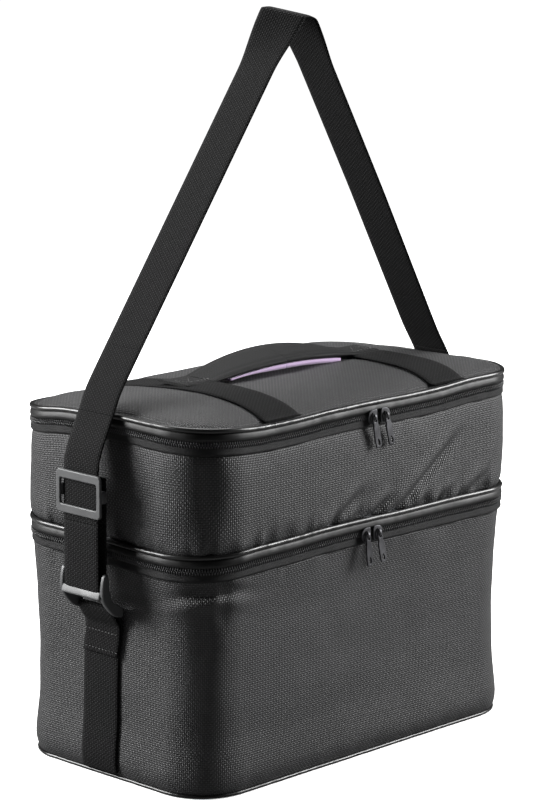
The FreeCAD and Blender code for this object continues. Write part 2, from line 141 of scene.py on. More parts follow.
def threads(n, place, across, along):
    """A plain weave over the cloth's own coordinates: 0 in the gaps between threads, 1 on top of them."""
    split = n.new("ShaderNodeSeparateXYZ", {0: place})
    u = n.math("DIVIDE", split.outputs[0], across)
    v = n.math("DIVIDE", split.outputs[1], along)
    warp = n.math("ABSOLUTE", n.math("SINE", n.math("MULTIPLY", u, math.pi)))
    weft = n.math("ABSOLUTE", n.math("SINE", n.math("MULTIPLY", v, math.pi)))
    cells = n.math("ADD", n.math("FLOOR", u), n.math("FLOOR", v))
    over = n.math("PINGPONG", cells, 1.0)
    warp_top = n.math("MULTIPLY", n.math("POWER", warp, 0.7), n.math("MULTIPLY_ADD", weft, 0.6, 0.4))
    weft_top = n.math("MULTIPLY", n.math("POWER", weft, 0.7), n.math("MULTIPLY_ADD", warp, 0.6, 0.4))
    mixed = n.new("ShaderNodeMix", {0: over, 2: warp_top, 3: n.math("MULTIPLY", weft_top, 0.45)})
    return mixed.outputs[0]


def cloth_material(name, low, high, pitch, rough, depth, sheen=0.0, wear=0.35, shine=0.5):
    """Woven cloth: threads, slubs, slight fading in patches and a soft sheen. Its colour is darker in the
    gaps between threads, which is painted shade, and lighter on the thread tops, which is painted highlight.
    """
    n = Nodes(name)
    place = n.attribute("cloth")
    weave = threads(n, place, *pitch)
    stretched = n.new("ShaderNodeVectorMath", {0: place, 1: (1.0, 0.12, 1.0)}, operation="MULTIPLY")
    slub = n.noise(stretched.outputs[0], 900.0)
    patches = n.noise(n.object_place(), 14.0, 3.0)
    # the weave in the colour: painted shade in the gaps between threads, painted highlight on the thread tops
    level = n.math("MULTIPLY", weave, n.span(slub, 0.3, 0.7, 1.0 - wear, 1.0))
    level = n.math("MULTIPLY", level, n.span(patches, 0.3, 0.7, 0.85, 1.1))
    colour = n.colours(level, low, high)
    bump = n.bump(weave, depth, 0.9)
    bump = n.bump(patches, 0.0012, 0.25, bump)
    return n.finish(
        Base_Color=colour,
        Roughness=n.span(weave, 0.0, 1.0, rough[1], rough[0]),
        Normal=bump,
        Sheen_Weight=sheen,
        Sheen_Roughness=0.45,
        Specular_IOR_Level=shine,
    )


def coated_material(name, low, high, rough, wrinkle, scale, shine):
    """Smooth coated trim: fine creases, and gloss that varies along it."""
    n = Nodes(name)
    place = n.object_place()
    crease = n.noise(place, scale, 4.0, 0.6)
    broad = n.noise(place, 22.0, 2.0)
    rough_map = n.span(broad, 0.3, 0.7, rough[0], rough[1])
    return n.finish(
        Base_Color=n.colours(broad, low, high),
        Roughness=rough_map,
        Normal=n.bump(crease, wrinkle, 0.5),
        Specular_IOR_Level=shine,
    )


def metal_material(name, colour, rough):
    """Dark plated metal, scuffed and worn in patches."""
    n = Nodes(name)
    place = n.object_place()
    scuffs = n.noise(place, 700.0, 4.0, 0.7)
    worn = n.noise(place, 90.0, 3.0)
    dark = tuple(c * 0.55 for c in colour)
    return n.finish(
        Base_Color=n.colours(n.span(worn, 0.35, 0.65, 0.0, 1.0), dark, colour),
        Metallic=1.0,
        Roughness=n.span(scuffs, 0.3, 0.7, rough[0], rough[1]),
        Normal=n.bump(scuffs, 0.00006, 0.6),
    )


def plastic_material(name, low, high, rough):
    """Moulded plastic with a fine spark-eroded grain."""
    n = Nodes(name)
    place = n.object_place()
    grain = n.noise(place, 2600.0, 2.0)
    broad = n.noise(place, 60.0, 2.0)
    return n.finish(
        Base_Color=n.colours(broad, low, high),
        Roughness=n.span(broad, 0.3, 0.7, rough[0], rough[1]),
        Normal=n.bump(grain, 0.00005, 0.7),
    )


def foil_material(name):
    """Silvered liner with the small facets of a crinkled film."""
    n = Nodes(name)
    place = n.object_place()
    cells = n.new("ShaderNodeTexVoronoi", {"Vector": place, "Scale": 70.0, "Randomness": 1.0})
    facets = cells.outputs["Distance"]
    fine = n.noise(place, 240.0, 3.0)
    return n.finish(
        Base_Color=n.colours(fine, (0.22, 0.23, 0.245), (0.36, 0.37, 0.385)),
        Metallic=0.75,
        Roughness=n.span(fine, 0.3, 0.7, 0.28, 0.5),
        Normal=n.bump(fine, 0.0004, 0.4, n.bump(facets, 0.0022, 0.5)),
    )


# for each cloth below, the first colour is the painted shade in its thread gaps and the second the painted
# highlight on its thread tops
OXFORD = cloth_material(
    "oxford_cloth", (0.0004, 0.0004, 0.0005), (0.030, 0.030, 0.032), (0.0017, 0.0017), (0.38, 0.68),
    depth=0.0006, shine=0.42,
)
WEB = cloth_material(
    "webbing_cloth", (0.0003, 0.0003, 0.0003), (0.0105, 0.0105, 0.011), (0.0019, 0.0015), (0.60, 0.9),
    depth=0.0005, wear=0.6, shine=0.12,
)
TAPE = cloth_material(
    "tape_cloth", (0.001, 0.001, 0.001), (0.008, 0.008, 0.009), (0.0009, 0.0005), (0.5, 0.7),
    depth=0.0002, shine=0.2,
)
GRIP = cloth_material(
    "grip_cloth", (0.0006, 0.0006, 0.0006), (0.0065, 0.0065, 0.007), (0.0009, 0.0009), (0.5, 0.68),
    depth=0.0003, shine=0.16,
)
LILAC = cloth_material(
    "lilac_cloth", (0.38, 0.27, 0.44), (0.66, 0.51, 0.73), (0.0009, 0.0009), (0.7, 0.85),
    depth=0.0002, sheen=0.3, wear=0.2,
)
COAT = (0.003, 0.003, 0.003), (0.006, 0.006, 0.006)
CORD_COVER = coated_material("cord_cover", *COAT, (0.24, 0.36), 0.0004, 240.0, 0.36)
SMOOTH_BAND = coated_material("smooth_band", *COAT, (0.40, 0.52), 0.0005, 120.0, 0.2)
COIL = plastic_material("coil_plastic", (0.008, 0.008, 0.009), (0.014, 0.014, 0.015), (0.34, 0.5))
HARD = plastic_material("hardware_plastic", (0.036, 0.037, 0.038), (0.056, 0.057, 0.059), (0.42, 0.56))
GUNMETAL = metal_material("gunmetal", (0.085, 0.085, 0.09), (0.42, 0.6))
# grey thread for the lid stitches: a painted highlight standing for their glints
THREAD = plastic_material("sewing_thread_painted_glint", (0.05, 0.05, 0.052), (0.10, 0.10, 0.105), (0.5, 0.6))
BLACK_THREAD = plastic_material("black_thread", (0.004, 0.004, 0.004), (0.012, 0.012, 0.012), (0.4, 0.5))
FOIL = foil_material("foil_liner")
BOARD = plastic_material("base_board", (0.012, 0.012, 0.013), (0.02, 0.02, 0.02), (0.5, 0.7))


# ---- smooth numbers --------------------------------------------------------------------------------------
def soft_noise(places, size, seed=0.0):
    """Seeded value noise from -1 to 1 over points, smooth at the given size."""
    q = np.asarray(places, float) / size
    cell = np.floor(q)
    f = q - cell
    f = f * f * (3 - 2 * f)
    total = np.zeros(q.shape[:-1])
    for corner in np.ndindex(2, 2, 2):
        c = cell + corner
        value = np.sin(c @ np.array([12.9898, 78.233, 37.719]) + seed * 7.31) * 43758.5453
        value = value - np.floor(value)
        weight = np.prod(np.where(np.array(corner) == 1, f, 1 - f), axis=-1)
        total += weight * value
    return total * 2 - 1


def hump(x, middle, width):
    """A smooth bump, 1 at its middle."""
    return np.exp(-(((x - middle) / width) ** 2))


def ease(x, low, high):
    """0 below low, 1 above high and smooth between."""
    t = np.clip((x - low) / (high - low), 0, 1)
    return t * t * (3 - 2 * t)


# ---- the rim ---------------------------------------------------------------------------------------------
def rim(s):
    """Points and outward directions along the footprint.

    It starts at the middle of the back and goes round by the left end.
    """
    s = np.mod(np.asarray(s, float), PERIMETER)
    x, y, nx, ny = (np.zeros_like(s) for _ in range(4))
    lengths = [STRAIGHT_X, ARC, 2 * STRAIGHT_Y, ARC, 2 * STRAIGHT_X, ARC, 2 * STRAIGHT_Y, ARC, STRAIGHT_X]
    places = [(0, 1), (-1, 1), (-1, 1), (-1, -1), (-1, -1), (1, -1), (1, -1), (1, 1), (1, 1)]
    start = 0.0
    for number, (length, (cx, cy)) in enumerate(zip(lengths, places)):
        here = (s >= start) & (s <= start + length)
        t = s[here] - start
        if number % 2:
            angle = math.pi / 2 * ((number + 1) // 2) + t / CORNER
            nx[here], ny[here] = np.cos(angle), np.sin(angle)
            x[here] = cx * STRAIGHT_X + CORNER * nx[here]
            y[here] = cy * STRAIGHT_Y + CORNER * ny[here]
        else:
            angle = math.pi / 2 * (number // 2 + 1)
            direction = (math.cos(angle + math.pi / 2), math.sin(angle + math.pi / 2))
            normal = (math.cos(angle), math.sin(angle))
            ox = 0.0 if number == 0 else cx * STRAIGHT_X
            oy = cy * STRAIGHT_Y
            x[here] = ox + CORNER * normal[0] + direction[0] * t
            y[here] = oy + CORNER * normal[1] + direction[1] * t
            nx[here], ny[here] = normal
        start += length
    return x, y, nx, ny


LIE_BLEND = 0.034  # how far each of the places below reaches
LID_LIE = (  # how high or low the lid's rim lies at places round it: x, y, height
    (-0.175, -0.092, 0.0010), (-0.106, -0.108, -0.0018), (-0.020, -0.108, 0.0), (0.055, -0.108, -0.0008),
    (0.140, -0.108, 0.0017), (0.178, -0.085, 0.0008), (0.184, 0.0, -0.0008), (0.175, 0.090, -0.0034),
    (0.100, 0.108, -0.0048), (0.0, 0.108, -0.0070), (-0.100, 0.108, -0.0094), (-0.148, 0.106, -0.0088),
    (-0.178, 0.080, -0.0046), (-0.184, 0.035, 0.0004), (-0.184, -0.020, 0.0030), (-0.183, -0.065, 0.0022),
)
TIER_LIE = (  # the same for the upper tier's lower rim
    (-0.184, 0.070, -0.0014), (-0.184, 0.0, -0.0024), (-0.184, -0.060, -0.0038), (-0.168, -0.095, -0.0027),
    (-0.120, -0.108, -0.0006), (-0.030, -0.108, 0.0006), (0.060, -0.108, -0.0004), (0.140, -0.108, -0.0010),
    (0.175, -0.090, -0.0015), (0.184, 0.030, 0.0), (0.100, 0.108, 0.0), (-0.100, 0.108, 0.0),
)


def lie(x, y, places):
    """A smooth blend of the rim heights at the places given."""
    total, weight = 0 * x, 0 * x
    for px, py, height in places:
        near = 1 / ((x - px) ** 2 + (y - py) ** 2 + LIE_BLEND**2) ** 1.9
        total, weight = total + near * height, weight + near
    return total / weight


def settle(points):
    """The carrier's own slump: rims that wave, and a lid that lies lower at the back and on the left."""
    p = np.array(points, float)
    x, y, z = p[..., 0], p[..., 1], p[..., 2]
    at_tier = ease(z, 0.06, LOWER_CHAIN_Z - 0.02) * (1 - ease(z, TIER_CORD_Z + 0.005, LID_CHAIN_Z - 0.02))
    at_lid = ease(z, TIER_CORD_Z + 0.01, LID_CHAIN_Z - 0.012)
    p[..., 2] = z + lie(x, y, TIER_LIE) * at_tier + lie(x, y, LID_LIE) * at_lid
    return p


# ---- mesh helpers ----------------------------------------------------------------------------------------
def add_mesh(name, points, faces, material, cloth=None, caps=0):
    mesh = bpy.data.meshes.new(name)
    mesh.from_pydata([tuple(p) for p in points], [], faces)
    mesh.validate()
    if cloth is not None:
        layer = mesh.attributes.new("cloth", "FLOAT_VECTOR", "POINT")
        flat = np.zeros((len(points), 3), np.float32)
        flat[:, : np.shape(cloth)[1]] = cloth
        layer.data.foreach_set("vector", flat.ravel())
    count = len(mesh.polygons)
    mesh.polygons.foreach_set("use_smooth", [True] * (count - caps) + [False] * caps)
    mesh.materials.append(material)
    piece = bpy.data.objects.new(name, mesh)
    bpy.context.scene.collection.objects.link(piece)
    return piece


def grid_faces(rows, columns, close_rows=False, close_columns=False, offset=0):
    faces = []
    for r in range(rows if close_rows else rows - 1):
        for c in range(columns if close_columns else columns - 1):
            a, b = r * columns + c, r * columns + (c + 1) % columns
            d, e = ((r + 1) % rows) * columns + c, ((r + 1) % rows) * columns + (c + 1) % columns
            faces.append((offset + a, offset + b, offset + e, offset + d))
    return faces


def place(piece, body, slot, *nodes):
    """Rides on a body and stands for CAD nodes. Its slot is not used."""
    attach(piece, body)
    if nodes:
        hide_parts(*nodes)
    return piece


def tube_faces(rows, columns, offset=0):
    """The sides of a tube of closed rows, and its two flat ends."""
    start, end = offset, offset + (rows - 1) * columns
    sides = grid_faces(rows, columns, False, True, offset)
    return [*sides, tuple(range(start, start + columns))[::-1], tuple(range(end, end + columns))]


def rim_samples(step, start=0.0, stop=None):
    """Evenly spaced places along the rim: all the way round, or a stretch of it with both its ends."""
    stop = PERIMETER if stop is None else stop
    stretch = stop - start < PERIMETER - 1e-6
    return np.linspace(start, stop, max(2, round((stop - start) / step)), endpoint=stretch)


def ring(name, section, material, relief=None, samples=None, closed=True, step=0.0025):
    """A band along the rim, all the way round unless told otherwise.

    The section is a loop of (outward, z) places, and relief pushes them outwards and up.
    """
    s = rim_samples(step) if samples is None else samples
    x, y, nx, ny = rim(s)
    out = np.array([p[0] for p in section])[:, None] + 0 * s[None, :]
    z = np.array([p[1] for p in section])[:, None] + 0 * s[None, :]
    if relief is not None:
        push, lift = relief(s[None, :] + 0 * out, out, z, np.stack([x + 0 * out, y + 0 * out, z], -1))
        out, z = out + push, z + lift
    points = settle(np.stack([x + nx * out, y + ny * out, z], -1))
    lengths = np.hypot(np.diff([p[0] for p in section]), np.diff([p[1] for p in section]))
    along = np.concatenate([[0.0], np.cumsum(lengths)])
    cloth = np.stack([s[None, :] + 0 * out, along[:, None] + 0 * out], -1).reshape(-1, 2)
    rows, columns = out.shape
    faces = grid_faces(rows, columns, True, closed)
    if not closed:
        faces.append(tuple(r * columns for r in range(rows))[::-1])
        faces.append(tuple(r * columns + columns - 1 for r in range(rows)))
    return add_mesh(name, points.reshape(-1, 3), faces, material, cloth)


def shell_section(outer, thickness, count):
    """A loop of section points.

    It goes up the outer face through the given (outward, z) places, and down the inner one.
    """
    z = np.linspace(outer[0][1], outer[-1][1], count)
    out = np.interp(z, [p[1] for p in outer], [p[0] for p in outer])
    for _ in range(6):
        out[1:-1] = (out[:-2] + 2 * out[1:-1] + out[2:]) / 4
    up = [(o, h) for o, h in zip(out, z)]
    down = [(o - thickness, h) for o, h in zip(out[::-1], z[::-1])][:: max(1, count // 12)]
    return up + down


def inset_of(x, y):
    """How far inside the footprint a point is."""
    qx, qy = np.abs(x) - STRAIGHT_X, np.abs(y) - STRAIGHT_Y
    outside = np.hypot(np.maximum(qx, 0), np.maximum(qy, 0))
    return CORNER - outside - np.minimum(np.maximum(qx, qy), 0)


def disc(name, inset, pitch, top, bottom, material, extra_rings=()):
    """A closed pad over the footprint, with a top and a bottom height for each of its points."""
    rings = [inset, *extra_rings]
    s = rim_samples(0.003)
    count = len(s)
    x, y, nx, ny = rim(s)
    flat = [spot for d in rings for spot in zip(x - nx * d, y - ny * d)]
    columns, rows = (np.arange(-half, half, pitch) + pitch / 2 for half in (HALF_X, HALF_Y))
    gx, gy = np.meshgrid(columns, rows)
    keep = inset_of(gx, gy) > rings[-1] + pitch * 0.6
    flat.extend(zip(gx[keep], gy[keep]))
    edges = [(i, (i + 1) % count) for i in range(count)]
    verts, _, faces, *_ = delaunay_2d_cdt([Vector(p) for p in flat], edges, [], 1, 1e-7)
    xy = np.array([tuple(v) for v in verts])
    upper = np.column_stack([xy, top(xy[:, 0], xy[:, 1])])
    lower = np.column_stack([xy, bottom(xy[:, 0], xy[:, 1])])
    number = len(verts)
    points = np.vstack([upper, lower])
    made = [tuple(f) for f in faces] + [tuple(i + number for i in f[::-1]) for f in faces]
    made += [(i, i + number, (i + 1) % count + number, (i + 1) % count) for i in range(count)]
    cloth = np.vstack([xy, xy])
    return add_mesh(name, settle(points), made, material, cloth)


def cloth_strip(name, centres, sideways, width, thickness, material, columns=12):
    """Flat webbing along a path, with one unit sideways vector or one for each of its centres."""
    centres = np.asarray(centres, float)
    sideways = np.broadcast_to(np.asarray(sideways, float), centres.shape)
    along = np.gradient(centres, axis=0)
    along /= np.linalg.norm(along, axis=1)[:, None]
    normal = np.cross(sideways, along)
    normal /= np.linalg.norm(normal, axis=1)[:, None]
    t = np.linspace(-1, 1, columns)
    edge = np.sqrt(np.clip(1 - np.abs(t) ** 8, 0, 1)) * 0.8 + 0.2
    across = np.concatenate([t, t[::-1]]) * width / 2
    height = np.concatenate([edge, -edge[::-1]]) * thickness / 2
    points = centres[:, None, :] + sideways[:, None, :] * across[None, :, None]
    points = points + normal[:, None, :] * height[None, :, None]
    length = np.concatenate([[0.0], np.cumsum(np.linalg.norm(np.diff(centres, axis=0), axis=1))])
    cloth = np.stack(np.broadcast_arrays(across[None, :], length[:, None]), -1).reshape(-1, 2)
    return add_mesh(name, points.reshape(-1, 3), tube_faces(*points.shape[:2]), material, cloth, caps=2)


def plate(name, outlines, thickness, bevel, material, matrix):
    """A flat moulded or stamped piece: closed 2-D outlines, of which the inner ones are holes."""
    curve = bpy.data.curves.new(name, "CURVE")
    curve.dimensions = "2D"
    curve.fill_mode = "BOTH"
    curve.extrude = max(thickness / 2 - bevel, 0.00001)
    curve.bevel_depth = bevel
    curve.bevel_resolution = 2
    curve.offset = -bevel
    for outline in outlines:
        spline = curve.splines.new("POLY")
        spline.points.add(len(outline) - 1)
        for point, (x, y) in zip(spline.points, outline):
            point.co = (x, y, 0, 1)
        spline.use_cyclic_u = True
    holder = bpy.data.objects.new(name + "_outline", curve)
    bpy.context.scene.collection.objects.link(holder)
    bpy.context.view_layer.update()
    mesh = bpy.data.meshes.new_from_object(holder.evaluated_get(bpy.context.evaluated_depsgraph_get()))
    bpy.data.objects.remove(holder)
    mesh.name = name
    mesh.transform(matrix)
    mesh.materials.clear()
    mesh.materials.append(material)
    mesh.polygons.foreach_set("use_smooth", [True] * len(mesh.polygons))
    piece = bpy.data.objects.new(name, mesh)
    bpy.context.scene.collection.objects.link(piece)
    return piece


def rounded_box_outline(half_w, half_h, radius, steps=6, centre=(0, 0)):
    points = []
    for quarter, (sx, sy) in enumerate(((1, 1), (-1, 1), (-1, -1), (1, -1))):
        for k in range(steps + 1):
            a = math.pi / 2 * (quarter + k / steps)
            x = centre[0] + sx * (half_w - radius) + radius * math.cos(a)
            y = centre[1] + sy * (half_h - radius) + radius * math.sin(a)
            points.append((x, y))
    return points


def bar_between(name, start, end, wide, deep, wide_axis, material):
    """A rounded bar, a superellipse in section, with domed ends."""
    start, end = np.array(start, float), np.array(end, float)
    along = (end - start) / np.linalg.norm(end - start)
    side = np.array(wide_axis, float)
    up = np.cross(along, side)
    angles = np.linspace(0, 2 * math.pi, 20, endpoint=False)
    cs, sn = np.cos(angles), np.sin(angles)
    sx = np.sign(cs) * np.abs(cs) ** 0.55 * wide / 2
    sz = np.sign(sn) * np.abs(sn) ** 0.55 * deep / 2
    stations = [(0.0, 0.75), (0.02, 0.93), (0.05, 1.0), (0.35, 1.0), (0.65, 1.0), (0.95, 1.0)]
    stations += [(0.98, 0.93), (1.0, 0.75)]
    points = []
    for t, k in stations:
        centre = start + (end - start) * t
        points.append(centre + side * sx[:, None] * k + up * sz[:, None] * k)
    points = np.array(points)
    return add_mesh(name, points.reshape(-1, 3), tube_faces(*points.shape[:2]), material)


def joined(name, pieces):
    """One object out of several of the same material."""
    points, faces, cloth = [], [], []
    material = pieces[0].data.materials[0]
    for piece in pieces:
        base = len(points)
        mesh = piece.data
        layer = mesh.attributes.get("cloth")
        points.extend(piece.matrix_world @ v.co for v in mesh.vertices)
        faces.extend(tuple(base + i for i in p.vertices) for p in mesh.polygons)
        cloth.extend([tuple(d.vector) for d in layer.data] if layer else [(0, 0, 0)] * len(mesh.vertices))
        bpy.data.objects.remove(piece)
    return add_mesh(name, points, faces, material, np.array(cloth))


def dashes(name, centres, along, normals, length, radius, material, body, slot):
    """Stitches, a short raised capsule at each place. One direction or normal may serve them all."""
    along, normals = np.broadcast_to(along, centres.shape), np.broadcast_to(normals, centres.shape)
    points, faces = [], []
    for centre, direction, normal in zip(centres, along, normals):
        side = np.cross(direction, normal)
        base = len(points)
        for t, k in ((-1.0, 0.35), (-0.7, 1.0), (0.7, 1.0), (1.0, 0.35)):
            middle = centre + direction * t * length / 2 - normal * radius * (1 - k) * 0.8
            for a in range(6):
                turn = a * math.pi / 3
                points.append(middle + (side * math.cos(turn) + normal * math.sin(turn)) * radius * k)
        faces += tube_faces(4, 6, base)
    return place(add_mesh(name, points, faces, material), body, slot)


# ---- reliefs of the walls --------------------------------------------------------------------------------
FOLDS = [  # on the tier's front: start (x, z), end (x, z), depth, half width
    ((0.104, 0.243), (0.022, 0.184), 0.0036, 0.0046),
    ((0.024, 0.204), (-0.008, 0.183), 0.0027, 0.0036),
    ((-0.008, 0.214), (-0.050, 0.186), 0.0024, 0.0044),
    ((0.136, 0.206), (0.100, 0.184), 0.0021, 0.0036),
    ((0.095, 0.200), (0.070, 0.184), 0.0018, 0.0034),
    ((0.064, 0.198), (0.046, 0.184), 0.0010, 0.0030),
    ((0.150, 0.224), (0.128, 0.186), 0.0010, 0.0040),
]


def fold_relief(x, z):
    """Creases that run down across the cloth, each a trough with a low ridge on its upper side."""
    total = np.zeros_like(x)
    for (x0, z0), (x1, z1), depth, width in FOLDS:
        dx, dz = x1 - x0, z1 - z0
        length = math.hypot(dx, dz)
        t = ((x - x0) * dx + (z - z0) * dz) / length**2
        off = ((x - x0) * dz - (z - z0) * dx) / length
        fade = ease(t, -0.12, 0.35) * (1 - ease(t, 0.95, 1.15))
        trough = -np.exp(-((off / width) ** 2))
        ridge = 0.55 * np.exp(-(((off - 2.1 * width) / (1.3 * width)) ** 2))
        total += depth * fade * (trough + ridge)
    return total


def puckers(s, seed, size):
    """Gathers along a seam."""
    line = np.stack([s, 0 * s, 0 * s], -1)
    return soft_noise(line, size, seed) + 0.5 * soft_noise(line, size * 0.45, seed + 1)


def lower_relief(s, out, z, places):
    """The lower wall: soft unevenness, gathers at both seams and the folds under the front-left corner."""
    top, base = LOWER_CHAIN_Z - TAPE_DROP, 0.004
    push = 0.0015 * soft_noise(places, 0.075, 1) + 0.0005 * soft_noise(places, 0.024, 2)
    push += 0.0009 * puckers(s, 3, 0.011) * np.exp(-np.abs(z - top) / 0.007)
    push += 0.0004 * puckers(s, 5, 0.013) * np.exp(-np.abs(z - base) / 0.008)
    fold = top - 0.0075 - 0.16 * np.abs(s - FRONT_LEFT - 0.012)
    corner = hump(s, FRONT_LEFT + 0.004, 0.030)
    push -= 0.0042 * corner * hump(z, fold, 0.0042)
    push += 0.0026 * corner * hump(z, fold - 0.0085, 0.0055)
    push -= 0.0014 * hump(s, FRONT_LEFT + 0.018, 0.006) * hump(z, top - 0.020, 0.014)
    push -= 0.0015 * hump(s, FRONT_LEFT, 0.012) * ease(z, 0.02, 0.12)
    return push * ease(z, 0.001, 0.006), 0 * z


def tier_relief(s, out, z, places):
    """The tier wall: soft unevenness, gathers above the piping and the slanting folds of its front."""
    low = TIER_CORD_Z + CORD_RADIUS
    push = 0.0014 * soft_noise(places, 0.06, 11) + 0.0005 * soft_noise(places, 0.020, 12)
    push += 0.0019 * puckers(s, 13, 0.008) * np.exp(-np.abs(z - low - 0.003) / 0.006)
    push += 0.0004 * puckers(s, 15, 0.012) * np.exp(-np.abs(z - (LID_CHAIN_Z - TAPE_DROP)) / 0.006)
    x = s - FRONT_MIDDLE
    push += fold_relief(x, z) * (np.abs(x) < STRAIGHT_X + 0.03)
    push -= 0.0018 * hump(s, FRONT_LEFT + 0.004, 0.010) * ease(z, 0.20, 0.235)
    push -= 0.0010 * hump(s, LEFT_MIDDLE - 0.070, 0.006) * hump(z, 0.212, 0.02)
    return push, 0 * z


LOWER_PROFILE = [(-0.0052, 0.0020), (-0.0030, 0.006), (-0.0022, 0.015), (-0.0050, 0.045), (-0.0062, 0.090)]
LOWER_PROFILE += [(-0.0058, 0.135), (-0.0044, 0.156), (-0.0030, LOWER_CHAIN_Z - TAPE_DROP + 0.0008)]


def wall_out(s, z):
    """How far out the lower wall's face stands at places along the rim and heights."""
    x, y, _, _ = rim(s)
    out = np.interp(z, [p[1] for p in LOWER_PROFILE], [p[0] for p in LOWER_PROFILE])
    return out + lower_relief(s, out, z, np.stack([x, y, z], -1))[0]


# ---- walls -----------------------------------------------------------------------------------------------
def lower_wall():
    """The lower case's wall, which hollows a little at mid-height."""
    piece = ring("lower_wall", shell_section(LOWER_PROFILE, CLOTH_THICK, 74), OXFORD, lower_relief)
    place(piece, "lower_case", "shell_fabric", "lower_shell")


def tier_wall():
    low, top = TIER_CORD_Z + 0.0012, LID_CHAIN_Z - TAPE_DROP + 0.0008
    outer = [(-0.0034, low), (-0.0016, low + 0.003), (-0.0004, low + 0.012), (0.0004, low + 0.030)]
    outer += [(0.0002, top - 0.016), (-0.0008, top - 0.004), (-0.0020, top)]
    piece = ring("tier_wall", shell_section(outer, CLOTH_THICK, 46), OXFORD, tier_relief)
    place(piece, "upper_tier", "shell_fabric", "tier_shell")


def cord(name, z, body, node, radius=CORD_RADIUS, inset=0.0):
    """Piping: a covered cord whose cover gathers slightly."""
    angles = np.linspace(0, 2 * math.pi, 18, endpoint=False)
    section = [(-inset - radius + radius * math.cos(a), z + radius * math.sin(a)) for a in angles]

    def gathers(s, out, height, places):
        wave = 0.00014 * puckers(s, 21 + 100 * z, 0.006) + 0.0003 * puckers(s, 22 + 100 * z, 0.05)
        return wave, 0.0003 * puckers(s, 23 + 100 * z, 0.06) * (z > 0.01)

    piece = ring(name, section, CORD_COVER, gathers, step=0.002)
    place(piece, body, "piping", node)


def gusset(name, chain_z, cord_z, body, node):
    """The smooth band between a chain and its piping, with a turned lower edge over the zip's tape."""
    low, high = chain_z + 0.0022, cord_z - CORD_RADIUS * 0.6
    outer = [(-0.0016, low), (-0.0006, low + 0.0008), (-0.0003, low + 0.0022), (-0.0006, (low + high) / 2)]
    outer += [(-0.0012, high - 0.001), (-0.0026, high)]

    def gathers(s, out, z, places):
        return 0.00030 * puckers(s, 31 + 50 * chain_z, 0.02) + 0.0001 * puckers(s, 33, 0.006), 0 * z

    piece = ring(name, shell_section(outer, 0.0010, 16), SMOOTH_BAND, gathers, step=0.002)
    place(piece, body, "shell_fabric", node)


def tape(name, chain_z, body, node):
    """The zip's lower tape, sewn to the wall along its lower edge. It stops at the rear hinge."""
    low, high = chain_z - TAPE_DROP - 0.0006, chain_z - 0.0010
    outer = [(-0.0026, low), (-0.0012, low + 0.0006), (-0.0008, low + 0.002), (-0.0013, low + 0.0034)]
    outer += [(-0.0012, high - 0.003), (-0.0016, high)]

    def gathers(s, out, z, places):
        return 0.00025 * puckers(s, 41 + 50 * chain_z, 0.014), 0 * z

    samples = rim_samples(0.002, HINGE_X, PERIMETER - HINGE_X)
    piece = ring(name, shell_section(outer, 0.0006, 16), TAPE, gathers, samples, closed=False)
    place(piece, body, "zip_tape", node)


TOOTH_PITCH = 0.0021


def teeth(name, chain_z, upper, body, node):
    """One row of coil teeth: small turns of filament that mesh with the other row."""
    sign = 1 if upper else -1
    s = np.arange(HINGE_X + 0.002, PERIMETER - HINGE_X - 0.002, TOOTH_PITCH)
    s = s + (TOOTH_PITCH / 2 if upper else 0.0)
    x, y, nx, ny = rim(s)
    stations = [(-0.0004, 0.55, 0.0), (0.0002, 1.0, 0.0002), (0.0014, 1.0, 0.0002), (0.0026, 0.8, -0.0004)]
    points, faces = [], []
    for px, py, ax, ay in zip(x, y, nx, ny):
        base = len(points)
        for rise, size, bulge in stations:
            for k in range(8):
                a = k * math.pi / 4
                out = -0.0016 + bulge + 0.0010 * size * math.cos(a)
                side = 0.00066 * size * math.sin(a)
                points.append((px + ax * out - ay * side, py + ay * out + ax * side, chain_z + sign * rise))
        faces += grid_faces(len(stations), 8, False, True, base)
        faces += [tuple(base + i for i in range(8)), tuple(base + 24 + i for i in range(8))[::-1]]
    piece = add_mesh(name, settle(np.array(points)), faces, COIL)
    place(piece, body, "zip_coil", node)


def hinge_cloth(name, chain_z, node):
    """The rear hinge: a strip of the case's cloth, pressed in where the zip would be."""
    low, high = chain_z - TAPE_DROP - 0.004, chain_z + 0.0065
    heights = np.linspace(low, high, 15)
    xs = np.linspace(-HINGE_X, HINGE_X, 130)
    z, x = np.meshgrid(heights, xs, indexing="ij")
    soft = 0.0003 * soft_noise(np.stack([x, z, 0 * x], -1), 0.015, 51)
    out = -0.0006 - 0.0010 * hump(z, chain_z, 0.0012) + soft
    outer, inner = (np.stack([x, HALF_Y + (out + depth), z], -1) for depth in (0.0, -0.0010))
    points = np.vstack([settle(outer).reshape(-1, 3), settle(inner).reshape(-1, 3)])
    rows, cols = outer.shape[:2]
    total = rows * cols
    faces = grid_faces(rows, cols)
    faces += [tuple(i + total for i in f[::-1]) for f in faces]
    border = list(range(cols)) + [r * cols + cols - 1 for r in range(1, rows)]
    border += [total - cols + c for c in range(cols - 2, -1, -1)]
    border += [r * cols for r in range(rows - 2, 0, -1)]
    faces += [(b, a, a + total, b + total) for a, b in zip(border, border[1:] + border[:1])]
    cloth = np.tile(outer[..., [0, 2]].reshape(-1, 2), (2, 1))
    piece = add_mesh(name, points, faces, OXFORD, cloth)
    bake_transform(piece)
    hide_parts(node)


# ---- inside ----------------------------------------------------------------------------------------------
FOAM_THICK = 0.0062
BED_THICK = 0.0016


